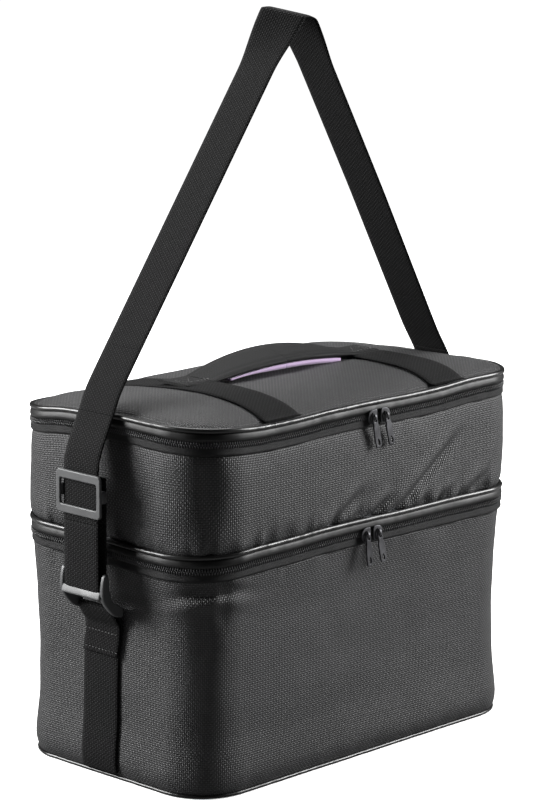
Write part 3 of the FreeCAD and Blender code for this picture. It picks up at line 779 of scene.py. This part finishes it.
def lining(name, low, rim_z, inset, body, *nodes):
    """A padded foil lining: it rolls over the foam at the rim and goes down the wall to the floor."""
    edge = -inset
    inner = edge - FOAM_THICK
    section = [(edge, rim_z - 0.012), (edge, rim_z - 0.003), (edge - 0.0008, rim_z - 0.0008)]
    section += [(edge - 0.003, rim_z), (inner + 0.0012, rim_z - 0.0006), (inner, rim_z - 0.003)]
    section += [(inner, h) for h in np.linspace(rim_z - 0.010, low + 0.008, 24)]
    section += [(inner - 0.0004, low + 0.003), (inner - 0.002, low + 0.0006), (inner - 0.004, low)]
    section += [(inner - 0.004, low - 0.0010), (inner + 0.002, low - 0.0010), (edge - 0.001, low)]
    section += [(edge, h) for h in np.linspace(low + 0.004, rim_z - 0.018, 6)]

    def creases(s, out, z, places):
        inside = (out < edge - 0.004) & (z < rim_z - 0.004)
        push = -0.0008 * (0.5 + 0.5 * soft_noise(places, 0.030, 61))
        push = push - 0.0003 * (1 + soft_noise(places, 0.010, 62)) / 2
        return push * inside, 0 * z

    wall = ring(name + "_wall", section, FOIL, creases, step=0.004)
    place(wall, body, "liner", *nodes)

    def top(x, y):
        pillow = 0.0012 * (1 - np.exp(-(inset_of(x, y) - inset - 0.006) / 0.006))
        return low + pillow + 0.0003 * soft_noise(np.stack([x, y, 0 * x], -1), 0.02, 63)

    floor = disc(name + "_floor", inset + 0.0095, 0.008, top, lambda x, y: low - BED_THICK + 0 * x, FOIL)
    place(floor, body, "liner")


def padded_underside(name, low, high, inset, body, slot, *nodes):
    """A quilted pad that closes a compartment from above, seen when it is open."""

    def under(x, y):
        lines = (np.abs(np.sin(across * math.pi / 0.075)) for across in (x + y, x - y))
        quilt = np.minimum(*lines)
        rise = 0.0022 * np.exp(-quilt / 0.16) + 0.0018 * np.exp(-(inset_of(x, y) - inset) / 0.003)
        return low + rise

    piece = disc(name, inset, 0.0045, lambda x, y: high + 0 * x, under, FOIL, (inset + 0.002, inset + 0.004))
    place(piece, body, slot, *nodes)


def base_bottom():
    """The underside: the base cloth drawn up slightly to its seam."""

    def under(x, y):
        return 0.0006 * np.exp(-(inset_of(x, y) - 0.0056) / 0.004)

    piece = disc("base_cloth", 0.0056, 0.010, lambda x, y: 0.0014 + 0 * x, under, OXFORD, (0.009, 0.014))
    place(piece, "lower_case", "shell_fabric", "base_panel")


# ---- lid -------------------------------------------------------------------------------------------------
SKIN_EDGE = 0.0030
STITCH_INSET = 0.0072
DOME_RISE = 0.0122


def lid_height(x, y):
    """The lid's cloth before the lid leans: a flat hem inside the piping, a stitch line, and a soft crown."""
    d = inset_of(x, y)
    dome = DOME_RISE * (1 - np.exp(-np.clip(d - STITCH_INSET, 0, None) / 0.021))
    hem = 0.0010 * hump(d, 0.0045, 0.0022) - 0.0007 * hump(d, STITCH_INSET, 0.0013)
    hem = hem + 0.0006 * ease(d, 0.008, 0.012)
    spot = np.stack([x, y, 0 * x], -1)
    loose = 0.0009 * soft_noise(spot, 0.050, 71) + 0.0003 * soft_noise(spot, 0.016, 72)
    tucks = 0.0005 * soft_noise(spot, 0.009, 73) * hump(d, 0.010, 0.005)
    hollow = -0.0012 * hump(x, -0.145, 0.022) * hump(y, -0.030, 0.035)
    hollow = hollow + 0.0012 * hump(x, 0.0, 0.05) * hump(y, -0.055, 0.03)
    hollow = hollow - 0.0062 * hump(x, 0.145, 0.055) * hump(y, 0.062, 0.050)
    return LID_CORD_Z + 0.0004 + hem + dome + (loose + hollow) * ease(d, 0.008, 0.03) + tucks


def lid_skin():
    """The lid's domed cloth, with extra rings of points at its hem and stitch line."""
    rings = (0.0040, 0.0052, 0.0064, 0.0072, 0.0080, 0.0092, 0.0110, 0.0135)
    piece = disc(
        "lid_cloth", SKIN_EDGE, 0.0032, lid_height, lambda x, y: lid_height(x, y) - CLOTH_THICK, OXFORD, rings
    )
    place(piece, "lid", "shell_fabric", "lid_panel")


def surface_normals(x, y):
    """Directions square to the lid's cloth."""
    e = 0.001
    gx = (lid_height(x + e, y) - lid_height(x - e, y)) / (2 * e)
    gy = (lid_height(x, y + e) - lid_height(x, y - e)) / (2 * e)
    n = np.stack([-gx, -gy, 1 + 0 * gx], -1)
    return n / np.linalg.norm(n, axis=-1)[..., None]


def lid_stitches():
    """The row of stitches that holds the lid's hem, just inside the piping. Their grey thread colour is a
    painted highlight standing for the glints on the stitches.
    """
    s = np.arange(0, PERIMETER, 0.0046)
    x, y, nx, ny = rim(s)
    px, py = x - nx * STITCH_INSET, y - ny * STITCH_INSET
    spots = settle(np.stack([px, py, lid_height(px, py) + 0.0002], -1))
    along = np.stack([-ny, nx, 0 * nx], -1)
    up = surface_normals(px, py)
    dashes("lid_stitches", spots, along, up, 0.0030, 0.00034, THREAD, "lid", "shell_fabric")


def lid_webbings():
    """Bands over the lid, tucked into the piping's seam at both ends."""
    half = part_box("lid_webbing_right")[1].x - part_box("handle_tab_right")[1].x
    middle = (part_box("handle_tab_right")[1].x + half) - WEBBING / 2
    y = np.linspace(-HALF_Y + 0.0045, HALF_Y - 0.0045, 90)
    for side, sign in (("left", -1), ("right", 1)):
        x = sign * middle + 0.0012 * np.sin(y * 21 + sign)
        z = lid_height(x, y)
        for _ in range(3):
            z[1:-1] = (z[:-2] + 2 * z[1:-1] + z[2:]) / 4
        centres = settle(np.stack([x, y, z + 0.0013], -1))
        piece = cloth_strip(f"lid_band_{side}", centres, (-1.0, 0, 0), WEBBING, STRAP_THICK, WEB)
        place(piece, "lid", "webbing", f"lid_webbing_{side}")


# ---- handle ----------------------------------------------------------------------------------------------
HANDLE_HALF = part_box("handle_sleeve")[1].x
HANDLE_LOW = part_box("handle_tab_left")[1].z
HANDLE_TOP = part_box("handle_sleeve")[1].z
GRIP_THICK = 0.0066
GRIP_WIDE = 0.033
GRIP_LEAN = math.radians(13.0)


def handle_line(x):
    """Middle of the grip: it leaves the lid flat, arches, and leans forward a little at mid-span."""
    t = np.clip(np.abs(x) / (HANDLE_HALF + 0.004), 0, 1)
    arch = (1 - t**2) ** 1.15
    low = HANDLE_LOW + 0.0012
    return low + (HANDLE_TOP - GRIP_THICK / 2 - low - 0.0010) * arch, arch


def grip_row(x, middle, rise, py, pz):
    """One cross-section of the grip, leaning forward as it rises."""
    lean = GRIP_LEAN * rise
    y = py * math.cos(lean) - pz * math.sin(lean)
    h = py * math.sin(lean) + pz * math.cos(lean)
    return np.stack([x + 0 * y, y, middle + h], -1)


def grip_body(name, rows, cloth, material):
    """A tube through the cross-sections."""
    points = np.array(rows)
    faces = tube_faces(*points.shape[:2])
    return add_mesh(name, points.reshape(-1, 3), faces, material, np.array(cloth).reshape(-1, 2), caps=2)


def grip_half(side, sign):
    """Half of the padded grip: a flattened tube with a sewn seam along each edge."""
    xs = np.linspace(HANDLE_HALF + 0.004, 0, 60) * sign
    z, arch = handle_line(xs)
    angles = np.linspace(0, 2 * math.pi, 44, endpoint=False)
    cs, sn = np.cos(angles), np.sin(angles)
    wide = np.sign(cs) * np.abs(cs) ** 0.62
    tall = np.sign(sn) * np.abs(sn) ** 0.80
    seam = 1 - 0.20 * np.exp(-(((np.abs(wide) - 0.70) / 0.07) ** 2))
    rows, cloth = [], []
    for x, middle, rise in zip(xs, z, arch):
        fat = 0.0034 + (GRIP_THICK - 0.0034) * min(1.0, rise * 2.2)
        half = GRIP_WIDE / 2 * (0.93 + 0.07 * rise)
        crease = 1 + 0.05 * math.sin(x * 260) * (1 - rise)
        rows.append(grip_row(x, middle, rise, wide * half, tall * fat / 2 * seam * crease))
        cloth.append(np.stack([wide * half, x + 0 * wide], -1))
    piece = grip_body(f"grip_{side}", rows, cloth, GRIP)
    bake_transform(piece)
    return piece


def grip_lining_half(side, sign):
    """The lilac lining under the grip, whose front edge shows. It thins out towards the left."""
    xs = np.linspace(HANDLE_HALF - 0.016, 0, 50) * sign
    z, arch = handle_line(xs)
    across = np.linspace(-1, 1, 16)
    loop = np.concatenate([across, across[::-1]])
    lower = np.repeat([0, 1], len(across))
    half = GRIP_WIDE / 2 * 0.985
    rows, cloth = [], []
    for x, middle, rise in zip(xs, z, arch):
        drop = GRIP_THICK / 2 * (0.98 - 0.30 * loop**6) + 0.0011 * lower
        drop = drop + 0.0026 * ease(x, -0.055, 0.0) * hump(loop, -0.95, 0.20) * lower
        rows.append(grip_row(x, middle, rise, loop * half, -drop))
        cloth.append(np.stack([loop * half, x + 0 * loop], -1))
    piece = grip_body(f"grip_lining_{side}", rows, cloth, LILAC)
    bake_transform(piece)
    return piece


def crossed_box(half_x, half_y, pitch):
    """Places and directions of the stitches of a sewn box with a diagonal."""
    spots, along = [], []
    route = [(-1, -1), (1, -1), (1, 1), (-1, 1), (-1, -1), (1, 1)]
    for a, b in zip(route, route[1:]):
        start, stop = np.array(a) * (half_x, half_y), np.array(b) * (half_x, half_y)
        count = int(np.linalg.norm(stop - start) / pitch)
        spots += [start + (stop - start) * (k + 0.5) / count for k in range(count)]
        along += [(stop - start) / np.linalg.norm(stop - start)] * count
    return np.array(spots), np.array(along)


def handle():
    """The grip in two halves that meet in the middle, and its two ends sewn to the lid."""
    for side, sign in (("left", -1), ("right", 1)):
        grip = grip_half(side, sign)
        strip = grip_lining_half(side, sign)
        if side == "left":
            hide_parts("handle_sleeve", "handle_core")
            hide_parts("handle_lining")
        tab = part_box(f"handle_tab_{side}")
        xs = np.linspace(tab[0].x - 0.003, tab[1].x + 0.003, 24)
        y = 0 * xs
        centres = np.stack([xs, y, settle(np.stack([xs, y, lid_height(xs, y)], -1))[:, 2] + 0.0034], -1)
        end = cloth_strip(f"grip_end_{side}", centres, ACROSS, 0.031, 0.0022, GRIP)
        place(end, "lid", "handle_fabric", f"handle_tab_{side}")
        spots, along = crossed_box(0.011, 0.012, 0.0036)
        spots = spots + np.array([sum(v.x for v in tab) / 2, 0.0])
        height = settle(np.column_stack([spots, lid_height(spots[:, 0], spots[:, 1])]))[:, 2] + 0.0047
        dashes(
            f"grip_stitches_{side}", np.column_stack([spots, height]), np.column_stack([along, 0 * height]),
            (0, 0, 1.0), STITCH_LONG, STITCH_THICK, BLACK_THREAD, "lid", "shell_fabric",
        )


# ---- strap -----------------------------------------------------------------------------------------------
SPLIT_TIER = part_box("strap_lower_left")[1].z
SPLIT_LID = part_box("strap_mid_left")[1].z
SPLIT_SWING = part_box("strap_flex_left")[1].z
PEAK_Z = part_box("shoulder_strap")[1].z
PEAK_X = 0.013
CROWN_LEFT, CROWN_RIGHT = (0.0120, 0, 0.5715), (0.0230, 0, 0.5680)
PULL_LEFT, PULL_RIGHT = ((-0.1815, 0, 0.300),), ((0.1755, 0, 0.302), (0.107, 0, 0.424))
RIM_X, RIM_Z = 0.1895, 0.2815
BUCKLE_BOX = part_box("strap_buckle_right")
BAR_Z = BUCKLE_BOX[1].z - 0.0135
FOOT_X, FOOT_Z = 0.1874, BAR_Z - 0.017


def smooth_path(corners, step, rounds):
    """A polyline with its corners eased, resampled evenly."""
    corners = np.array(corners, float)
    lengths = np.concatenate([[0.0], np.cumsum(np.linalg.norm(np.diff(corners, axis=0), axis=1))])
    t = np.linspace(0, lengths[-1], max(4, round(lengths[-1] / step)))
    path = np.column_stack([np.interp(t, lengths, corners[:, k]) for k in range(3)])
    for _ in range(rounds):
        path[1:-1] = (path[:-2] + 2 * path[1:-1] + path[2:]) / 4
    return path


def strap_path():
    """The strap's middle line, from beside the left buckle over the crown to beside the right one."""
    legs = []
    for sign, top, pull_in in ((-1, CROWN_LEFT, PULL_LEFT), (1, CROWN_RIGHT, PULL_RIGHT)):
        upright_leg = [(STRAP_X, 0.150), (STRAP_X, 0.250), (STRAP_X - 0.004, 0.261), (RIM_X, RIM_Z)]
        corners = [(sign * x, 0, z) for x, z in upright_leg]
        legs.append(smooth_path([*corners, *pull_in, top], 0.002, 22))
    over = [legs[0][-8], CROWN_LEFT, (PEAK_X, 0, PEAK_Z + 0.0005), CROWN_RIGHT, legs[1][-8]]
    crown = smooth_path(over, 0.001, 14)
    return np.vstack([legs[0][:-8], crown, legs[1][:-8][::-1]])


def strap_piece(name, path, low, high, side=0):
    """The stretch of the strap between two heights, cut exactly at each."""
    keep = path[(path[:, 2] > low + 0.0004) & (path[:, 2] < high - 0.0004)]
    if side:
        keep = keep[keep[:, 0] * side > 0]

    def cut(level, which):
        half = which[np.argsort(which[:, 2])]
        return np.array([np.interp(level, half[:, 2], half[:, 0]), 0.0, level])

    left, right = path[path[:, 0] < PEAK_X - 0.03], path[path[:, 0] > PEAK_X + 0.03]
    if side:
        half = left if side < 0 else right
        keep = keep[np.argsort(keep[:, 2])]
        points = [cut(low, half), *keep, cut(high, half)]
    else:
        points = [cut(low, left), *keep, cut(low, right)]
    points = np.array(points)
    turn = math.radians(20.0) * ease(points[:, 2], 0.525, PEAK_Z)
    dip = 0.17 * ease(points[:, 2], 0.53, PEAK_Z)
    across = np.stack([-np.sin(turn), np.cos(turn), dip], -1)
    across /= np.linalg.norm(across, axis=1)[:, None]
    return cloth_strip(name, points, across, WEBBING, STRAP_THICK, WEB, 16)


def strap():
    """The strap in the stretches that its joints need, each cut where its CAD node ends."""
    path = strap_path()
    for side, sign in (("left", -1), ("right", 1)):
        mid = strap_piece(f"strap_beside_tier_{side}", path, SPLIT_TIER, SPLIT_LID, sign)
        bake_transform(mid)
        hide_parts(f"strap_mid_{side}")
        flex = strap_piece(f"strap_bend_{side}", path, SPLIT_LID, SPLIT_SWING, sign)
        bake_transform(flex)
        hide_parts(f"strap_flex_{side}")
        middle = sign * (STRAP_X - STRAP_LOOP)
        turn = [
            (middle + sign * STRAP_LOOP * math.cos(a), 0, BAR_Z + STRAP_LOOP * math.sin(a))
            for a in np.linspace(0, -math.pi, 15)
        ]
        inner = sign * (STRAP_X - 2 * STRAP_LOOP)
        outer_leg = [(sign * STRAP_X, 0, h) for h in np.linspace(SPLIT_TIER, BAR_Z + 0.003, 18)]
        inner_leg = [(inner, 0, h) for h in np.linspace(BAR_Z + 0.003, SPLIT_TIER, 18)]
        points = np.array(outer_leg + turn + inner_leg)
        low = cloth_strip(f"strap_turn_{side}", points, ACROSS, WEBBING, STRAP_THICK, WEB, 16)
        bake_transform(low)
        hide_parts(f"strap_lower_{side}")
        tail = [(inner, 0, h) for h in np.linspace(SPLIT_TIER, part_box(f"strap_tail_{side}")[1].z, 14)]
        end = cloth_strip(f"strap_end_{side}", tail, ACROSS, WEBBING, STRAP_THICK, WEB, 16)
        place(end, "upper_tier", "webbing", f"strap_tail_{side}")
    loop = strap_piece("strap_crown", path, SPLIT_SWING, PEAK_Z)
    place(loop, "strap_loop", "webbing", "shoulder_strap")


def anchors():
    """Webbing sewn up each end wall and folded over the buckle's foot bar."""
    heights = np.linspace(0.0045, FOOT_Z - 0.013, 34)
    for side, sign in (("left", -1), ("right", 1)):
        centre = LEFT_MIDDLE if sign < 0 else LEFT_MIDDLE + PERIMETER / 2
        spread = np.linspace(-0.018, 0.018, 7)
        stand = np.max([wall_out(centre + d + 0 * heights, heights) for d in spread], axis=0)
        for _ in range(5):
            stand[1:-1] = (stand[:-2] + 2 * stand[1:-1] + stand[2:]) / 4
        under = HALF_X + stand + 0.0014
        up = list(zip(under, heights)) + [(FOOT_X - 0.0034, FOOT_Z - 0.003)]
        turn = np.linspace(math.pi, -0.9, 12)
        around = [(FOOT_X + 0.0030 * math.cos(a), FOOT_Z + 0.0030 * math.sin(a)) for a in turn]
        down = [(FOOT_X - 0.0006, FOOT_Z - 0.0075), (under[-1] + 0.0028, FOOT_Z - 0.0125)]
        down += [(under[-3] + 0.0018, heights[-3] - 0.004), (under[-8] + 0.0017, heights[-8])]
        shift = [0.0048 * (1 - ease(z, FOOT_Z - 0.045, FOOT_Z - 0.012)) for _, z in up + around + down]
        path = smooth_path([(sign * x, y, z) for (x, z), y in zip(up + around + down, shift)], 0.0014, 3)
        web = cloth_strip(f"anchor_{side}", path, ACROSS, WEBBING, 0.0015, WEB, 16)
        place(web, "lower_case", "webbing", f"strap_anchor_{side}")
        spots = []
        for level in (heights[-3], heights[-7]):
            out = sign * (np.interp(level, heights, under) + 0.0028)
            spots += [(out, y + 0.002, level) for y in np.arange(-0.016, 0.0165, 0.0036)]
        dashes(
            f"anchor_stitches_{side}", np.array(spots), ACROSS, (sign * 1.0, 0, 0), STITCH_LONG, STITCH_THICK,
            BLACK_THREAD, "lower_case", "webbing",
        )


# ---- hardware --------------------------------------------------------------------------------------------
def upright(sign, x, z):
    """Local X to the frame's Y, local Y to up, local Z outwards along the frame's X."""
    turned = Matrix(((0, 0, sign, 0), (1, 0, 0, 0), (0, 1, 0, 0), (0, 0, 0, 1)))
    return Matrix.Translation((sign * x, 0, z)) @ turned


def triglides():
    """The strap's adjusters: an open frame in front of the strap and a flat bar behind it."""
    for side, sign in (("left", -1), ("right", 1)):
        low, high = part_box(f"triglide_{side}")
        half_w, half_h = (high.y - low.y) / 2, (high.z - low.z) / 2
        middle = (low.z + high.z) / 2
        slot_w = WEBBING / 2 + 0.0008
        outlines = [
            rounded_box_outline(half_w, half_h, 0.0038),
            rounded_box_outline(slot_w, half_h - 0.0066, 0.0016),
        ]
        parts = [plate("rim", outlines, 0.0026, 0.0008, HARD, upright(sign, STRAP_X + 0.0023, middle))]
        ends = [(sign * (STRAP_X - 0.0027), y, middle) for y in (-half_w, half_w)]
        parts.append(bar_between("bar", *ends, 0.0070, 0.0023, (0, 0, 1), HARD))
        for y in (-(half_w + slot_w) / 2, (half_w + slot_w) / 2):
            ends = [(sign * (STRAP_X + x), y, middle) for x in (-0.0036, 0.0016)]
            parts.append(bar_between("cheek", *ends, 0.0095, half_w - slot_w, (0, 0, 1), HARD))
        frame_piece = joined(f"adjuster_frame_{side}", parts)
        place(frame_piece, f"adjuster_{side}", "hardware", f"triglide_{side}")


def spline_outline(points, steps=8):
    """A closed Catmull-Rom outline through a few places."""
    p = np.array(points, float)
    out = []
    for i in range(len(p)):
        a, b, c, d = p[i - 1], p[i], p[(i + 1) % len(p)], p[(i + 2) % len(p)]
        for k in range(steps):
            t = k / steps
            square, cube = 2 * a - 5 * b + 4 * c - d, 3 * b - a - 3 * c + d
            out.append(tuple(0.5 * (2 * b + (c - a) * t + square * t**2 + cube * t**3)))
    return out


def buckles():
    """Bowed side plates, a flat middle bar in the strap's turn and a round foot bar in the anchor."""
    bar_x = STRAP_X - STRAP_LOOP
    outline = [
        (FOOT_X - 0.0024, FOOT_Z - 0.0034), (FOOT_X + 0.0060, FOOT_Z - 0.0010),
        (bar_x + 0.0030, BAR_Z - 0.0070), (bar_x + 0.0046, BAR_Z + 0.0020), (bar_x + 0.0026, BAR_Z + 0.0132),
        (bar_x - 0.0016, BAR_Z + 0.0132), (bar_x - 0.0026, BAR_Z + 0.0030), (bar_x - 0.0060, BAR_Z - 0.0070),
        (FOOT_X - 0.0034, FOOT_Z + 0.0030),
    ]
    slot = WEBBING / 2 + 0.0008
    for side, sign in (("left", -1), ("right", 1)):
        pieces = []
        for end in (-1, 1):
            sideways = Matrix(((sign, 0, 0, 0), (0, 0, 1, 0), (0, 1, 0, 0), (0, 0, 0, 1)))
            matrix = Matrix.Translation((0, end * (slot + 0.0022), 0)) @ sideways
            pieces.append(plate(f"side_{end}", [spline_outline(outline)], 0.0036, 0.0009, HARD, matrix))
        bars = ((bar_x, BAR_Z, 0.0032, 0.0032), (FOOT_X, FOOT_Z, 0.0031, 0.0031))
        for x, z, wide, deep in bars:
            ends = [(sign * x, end * (slot + 0.001), z) for end in (-1, 1)]
            pieces.append(bar_between("bar", *ends, wide, deep, (0, 0, 1), HARD))
        cross = [(sign * (bar_x + 0.0042), end * (slot + 0.001), BAR_Z - 0.0020) for end in (-1, 1)]
        tilt = Vector((-0.35 * sign, 0, 1)).normalized()
        pieces.append(bar_between("front_bar", *cross, 0.0064, 0.0024, tuple(tilt), HARD))
        place(joined(f"buckle_frame_{side}", pieces), f"buckle_{side}", "hardware", f"strap_buckle_{side}")


# ---- zip sliders -----------------------------------------------------------------------------------------
def tear_outline(length, narrow, wide, centre_y):
    """A long eye, round at the foot and narrow at the top."""
    points = []
    for k in range(24):
        a = 2 * math.pi * k / 24
        y = math.sin(a)
        half = narrow + (wide - narrow) * (1 - y) / 2
        points.append((half * math.cos(a), centre_y + y * length / 2))
    return points


PULL_SLANTS = {  # degrees from upright at which each pull hangs
    ("lid", "left"): 13.0, ("lid", "right"): 15.0, ("lower", "left"): 7.0, ("lower", "right"): 13.0,
}


def runner(chain, side, x, chain_z):
    """A slider: a shield in front of the teeth, one behind them, and a bridge that holds the pull."""
    front_y = -(HALF_Y + 0.0004)
    shield = [(0.0045, -0.0046), (0.0056, -0.0020), (0.0050, 0.0022), (0.0024, 0.0048), (-0.0024, 0.0048)]
    shield += [(-0.0050, 0.0022), (-0.0056, -0.0020), (-0.0045, -0.0046)]
    face = Matrix(((1, 0, 0, x), (0, 0, -1, front_y - 0.0009), (0, 1, 0, chain_z), (0, 0, 0, 1)))
    turned = face @ Matrix.Rotation(math.radians(90 if side == "left" else -90), 4, "Z")
    parts = [plate("face", [spline_outline(shield)], 0.0014, 0.0004, GUNMETAL, turned)]
    back = Matrix.Translation((0, 0.0052, 0)) @ turned
    parts.append(plate("back", [spline_outline(shield)], 0.0011, 0.0003, GUNMETAL, back))
    rise = [(-0.0010, 0.0030), (-0.0034, 0.0026), (-0.0046, 0.0006), (-0.0044, -0.0016), (-0.0012, -0.0030)]
    path = smooth_path([(x, front_y + out, chain_z + up) for out, up in rise], 0.0006, 4)
    parts.append(cloth_strip("bridge", path, (1.0, 0, 0), 0.0026, 0.0009, GUNMETAL, 6))
    return joined(f"{chain}_zip_runner_{side}", parts)


def pull_tab(chain, side, x, chain_z):
    """A pull: a long tab with a small hole on the bridge and a long eye at its foot."""
    low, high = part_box(f"{chain}_pull_{side}")
    bottom = low.z - chain_z
    outer = [(-0.0018, 0.0016), (0.0018, 0.0016), (0.0026, -0.0012), (0.0024, -0.0060), (0.0031, -0.0090)]
    outer += [(0.0032, bottom + 0.0030), (0.0019, bottom + 0.0004), (-0.0019, bottom + 0.0004)]
    outer += [(-0.0032, bottom + 0.0030), (-0.0031, -0.0090), (-0.0024, -0.0060), (-0.0026, -0.0012)]
    holes = [
        rounded_box_outline(0.0012, 0.0024, 0.0011, 5, (0, -0.0016)),
        tear_outline(0.0052, 0.0006, 0.0018, bottom + 0.0046),
    ]
    stand = Matrix(((1, 0, 0, x), (0, 0, -1, (low.y + high.y) / 2), (0, 1, 0, chain_z), (0, 0, 0, 1)))
    stand = stand @ Matrix.Rotation(math.radians(PULL_SLANTS[chain, side]), 4, "Z")
    outlines = [spline_outline(outer, 5), *holes]
    return plate(f"{chain}_zip_tab_{side}", outlines, 0.0014, 0.0004, GUNMETAL, stand)


def sliders():
    """Two runners with their pulls on each zip."""
    for chain, chain_z in (("lid", LID_CHAIN_Z), ("lower", LOWER_CHAIN_Z)):
        for side in ("left", "right"):
            low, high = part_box(f"{chain}_slider_{side}")
            x = (low.x + high.x) / 2
            piece = runner(chain, side, x, chain_z)
            place(piece, f"{chain}_zip_slider_{side}", "zip_metal", f"{chain}_slider_{side}")
            tab = pull_tab(chain, side, x, chain_z)
            place(tab, f"{chain}_zip_pull_{side}", "zip_metal", f"{chain}_pull_{side}")


# ---- everything ------------------------------------------------------------------------------------------
def build():
    """Every piece, from the base up."""
    lower_wall()
    base_bottom()
    cord("base_cord", 0.0015, "lower_case", "base_piping", 0.0015, 0.0040)
    tape("lower_tape", LOWER_CHAIN_Z, "lower_case", "lower_zip_tape")
    teeth("lower_teeth", LOWER_CHAIN_Z, False, "lower_case", "lower_zip_teeth")
    lower_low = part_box("lower_liner")[0].z + 0.0008
    lining(
        "lower_lining", lower_low, LOWER_CHAIN_Z - 0.001, 0.0094, "lower_case",
        "lower_liner", "lower_foam", "base_foam",
    )
    tier_wall()
    cord("tier_cord", TIER_CORD_Z, "upper_tier", "tier_piping")
    gusset("tier_gusset", LOWER_CHAIN_Z, TIER_CORD_Z, "upper_tier", "tier_band")
    teeth("tier_teeth", LOWER_CHAIN_Z, True, "upper_tier", "tier_zip_teeth")
    tape("lid_tape", LID_CHAIN_Z, "upper_tier", "lid_zip_tape")
    teeth("lid_teeth_low", LID_CHAIN_Z, False, "upper_tier", "lid_zip_lower_teeth")
    tier_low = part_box("tier_liner")[0].z + 0.0008
    lining("tier_lining", tier_low, LID_CHAIN_Z - 0.001, 0.0053, "upper_tier", "tier_liner", "tier_foam")
    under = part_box("lower_lid_liner")[0].z
    padded_underside(
        "tier_underside", under, tier_low - 0.0024, 0.0052, "upper_tier", "liner",
        "lower_lid_liner", "tier_floor_foam", "tier_floor_panel",
    )
    hinge_cloth("tier_hinge_cloth", LOWER_CHAIN_Z, "lower_hinge_strip")
    hinge_cloth("lid_hinge_cloth", LID_CHAIN_Z, "lid_hinge_strip")
    lid_skin()
    lid_stitches()
    cord("lid_cord", LID_CORD_Z, "lid", "lid_piping")
    gusset("lid_gusset", LID_CHAIN_Z, LID_CORD_Z, "lid", "lid_band")
    teeth("lid_teeth_up", LID_CHAIN_Z, True, "lid", "lid_zip_upper_teeth")
    padded_underside(
        "lid_underside", LID_CHAIN_Z + 0.0006, LID_CORD_Z, 0.0056, "lid", "liner", "lid_foam", "lid_liner"
    )
    lid_webbings()
    handle()
    strap()
    anchors()
    triglides()
    buckles()
    sliders()
    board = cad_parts["base_board"]
    board.data.materials.clear()
    board.data.materials.append(BOARD)


# ---- studio ----------------------------------------------------------------------------------------------
def seen_by_camera(n):
    return n.new("ShaderNodeLightPath").outputs["Is Camera Ray"]


def floor_paper():
    """Pale paper, white far away and to the camera, and dark to the light that would bounce off it."""
    n = Nodes("floor_paper")
    grain = n.noise(n.object_place(), 60.0, 3.0)
    away = n.new("ShaderNodeVectorMath", {0: n.object_place()}, operation="LENGTH").outputs["Value"]
    glow = n.math("MULTIPLY", n.span(away, 0.25, 0.9, 0.55, 1.0), seen_by_camera(n))
    pale = n.math("MULTIPLY", n.span(grain, 0.3, 0.7, 0.9, 1.0), seen_by_camera(n))
    return n.finish(
        Base_Color=n.colours(pale, (0.22, 0.22, 0.22), (0.94, 0.94, 0.94)),
        Roughness=0.9,
        Emission_Color=(1.0, 1.0, 1.0, 1.0),
        Emission_Strength=glow,
    )


def softbox(name, location, target, size, power):
    """A rectangular lamp turned to its target."""
    data = bpy.data.lights.new(name, "AREA")
    data.shape = "RECTANGLE"
    data.size, data.size_y = size
    data.energy = power
    lamp = bpy.data.objects.new(name, data)
    lamp.location = location
    lamp.rotation_euler = (Vector(target) - Vector(location)).to_track_quat("-Z", "Y").to_euler()
    bpy.context.scene.collection.objects.link(lamp)


def studio():
    """A white surround that lights the object only a little, a pale floor and three soft lamps."""
    scene = bpy.context.scene
    scene.view_settings.view_transform = "Standard"
    scene.view_settings.look = "None"
    world = bpy.data.worlds.new("studio")
    scene.world = world
    world.use_nodes = True
    tree = world.node_tree
    background = tree.nodes["Background"]
    background.inputs["Color"].default_value = (1, 1, 1, 1)
    seen = tree.nodes.new("ShaderNodeLightPath")
    strength = tree.nodes.new("ShaderNodeMapRange")
    strength.inputs["To Min"].default_value = 0.06
    strength.inputs["To Max"].default_value = 1.0
    tree.links.new(seen.outputs["Is Camera Ray"], strength.inputs["Value"])
    tree.links.new(strength.outputs["Result"], background.inputs["Strength"])

    floor = bpy.data.meshes.new("floor")
    reach = 6.0
    corners = [(-reach, -reach, 0), (reach, -reach, 0), (reach, reach, 0), (-reach, reach, 0)]
    floor.from_pydata(corners, [], [(0, 1, 2, 3)])
    floor.materials.append(floor_paper())
    ground = bpy.data.objects.new("floor", floor)
    ground.location.z = -0.0002
    scene.collection.objects.link(ground)

    softbox("left_box", (-1.16, 1.24, 0.85), (0, 0, 0.2), (0.7, 1.1), 78)
    softbox("right_box", (1.46, -1.06, 0.90), (0, 0, 0.2), (0.7, 1.1), 76)
    softbox("top_box", (0.45, 0.6, 1.7), (0, 0, 0.25), (1.2, 1.2), 36)


def camera():
    """The photograph's viewing angle, distance and lens."""
    azimuth, elevation, roll = math.radians(-46.0), math.radians(11.7), math.radians(0.27)
    distance, sideways, height = 2.505, -0.0043, 0.2666
    flat = math.cos(elevation)
    back = Vector((math.sin(azimuth) * flat, -math.cos(azimuth) * flat, math.sin(elevation)))
    level = Vector((math.cos(azimuth), math.sin(azimuth), 0))
    up = back.cross(level)
    right = level * math.cos(roll) + up * math.sin(roll)
    up = up * math.cos(roll) - level * math.sin(roll)
    spot = level * sideways + Vector((0, 0, height)) + back * distance
    data = bpy.data.cameras.new("photo_camera")
    data.lens, data.sensor_width, data.sensor_fit = 143.5, 36.0, "AUTO"
    data.clip_end = 50.0
    lens = bpy.data.objects.new("photo_camera", data)
    turned = Matrix((right, up, back)).transposed().to_4x4()
    lens.matrix_world = Matrix.Translation(spot) @ turned
    bpy.context.scene.collection.objects.link(lens)
    bpy.context.scene.camera = lens


build()
studio()
camera()
bpy.context.view_layer.update()
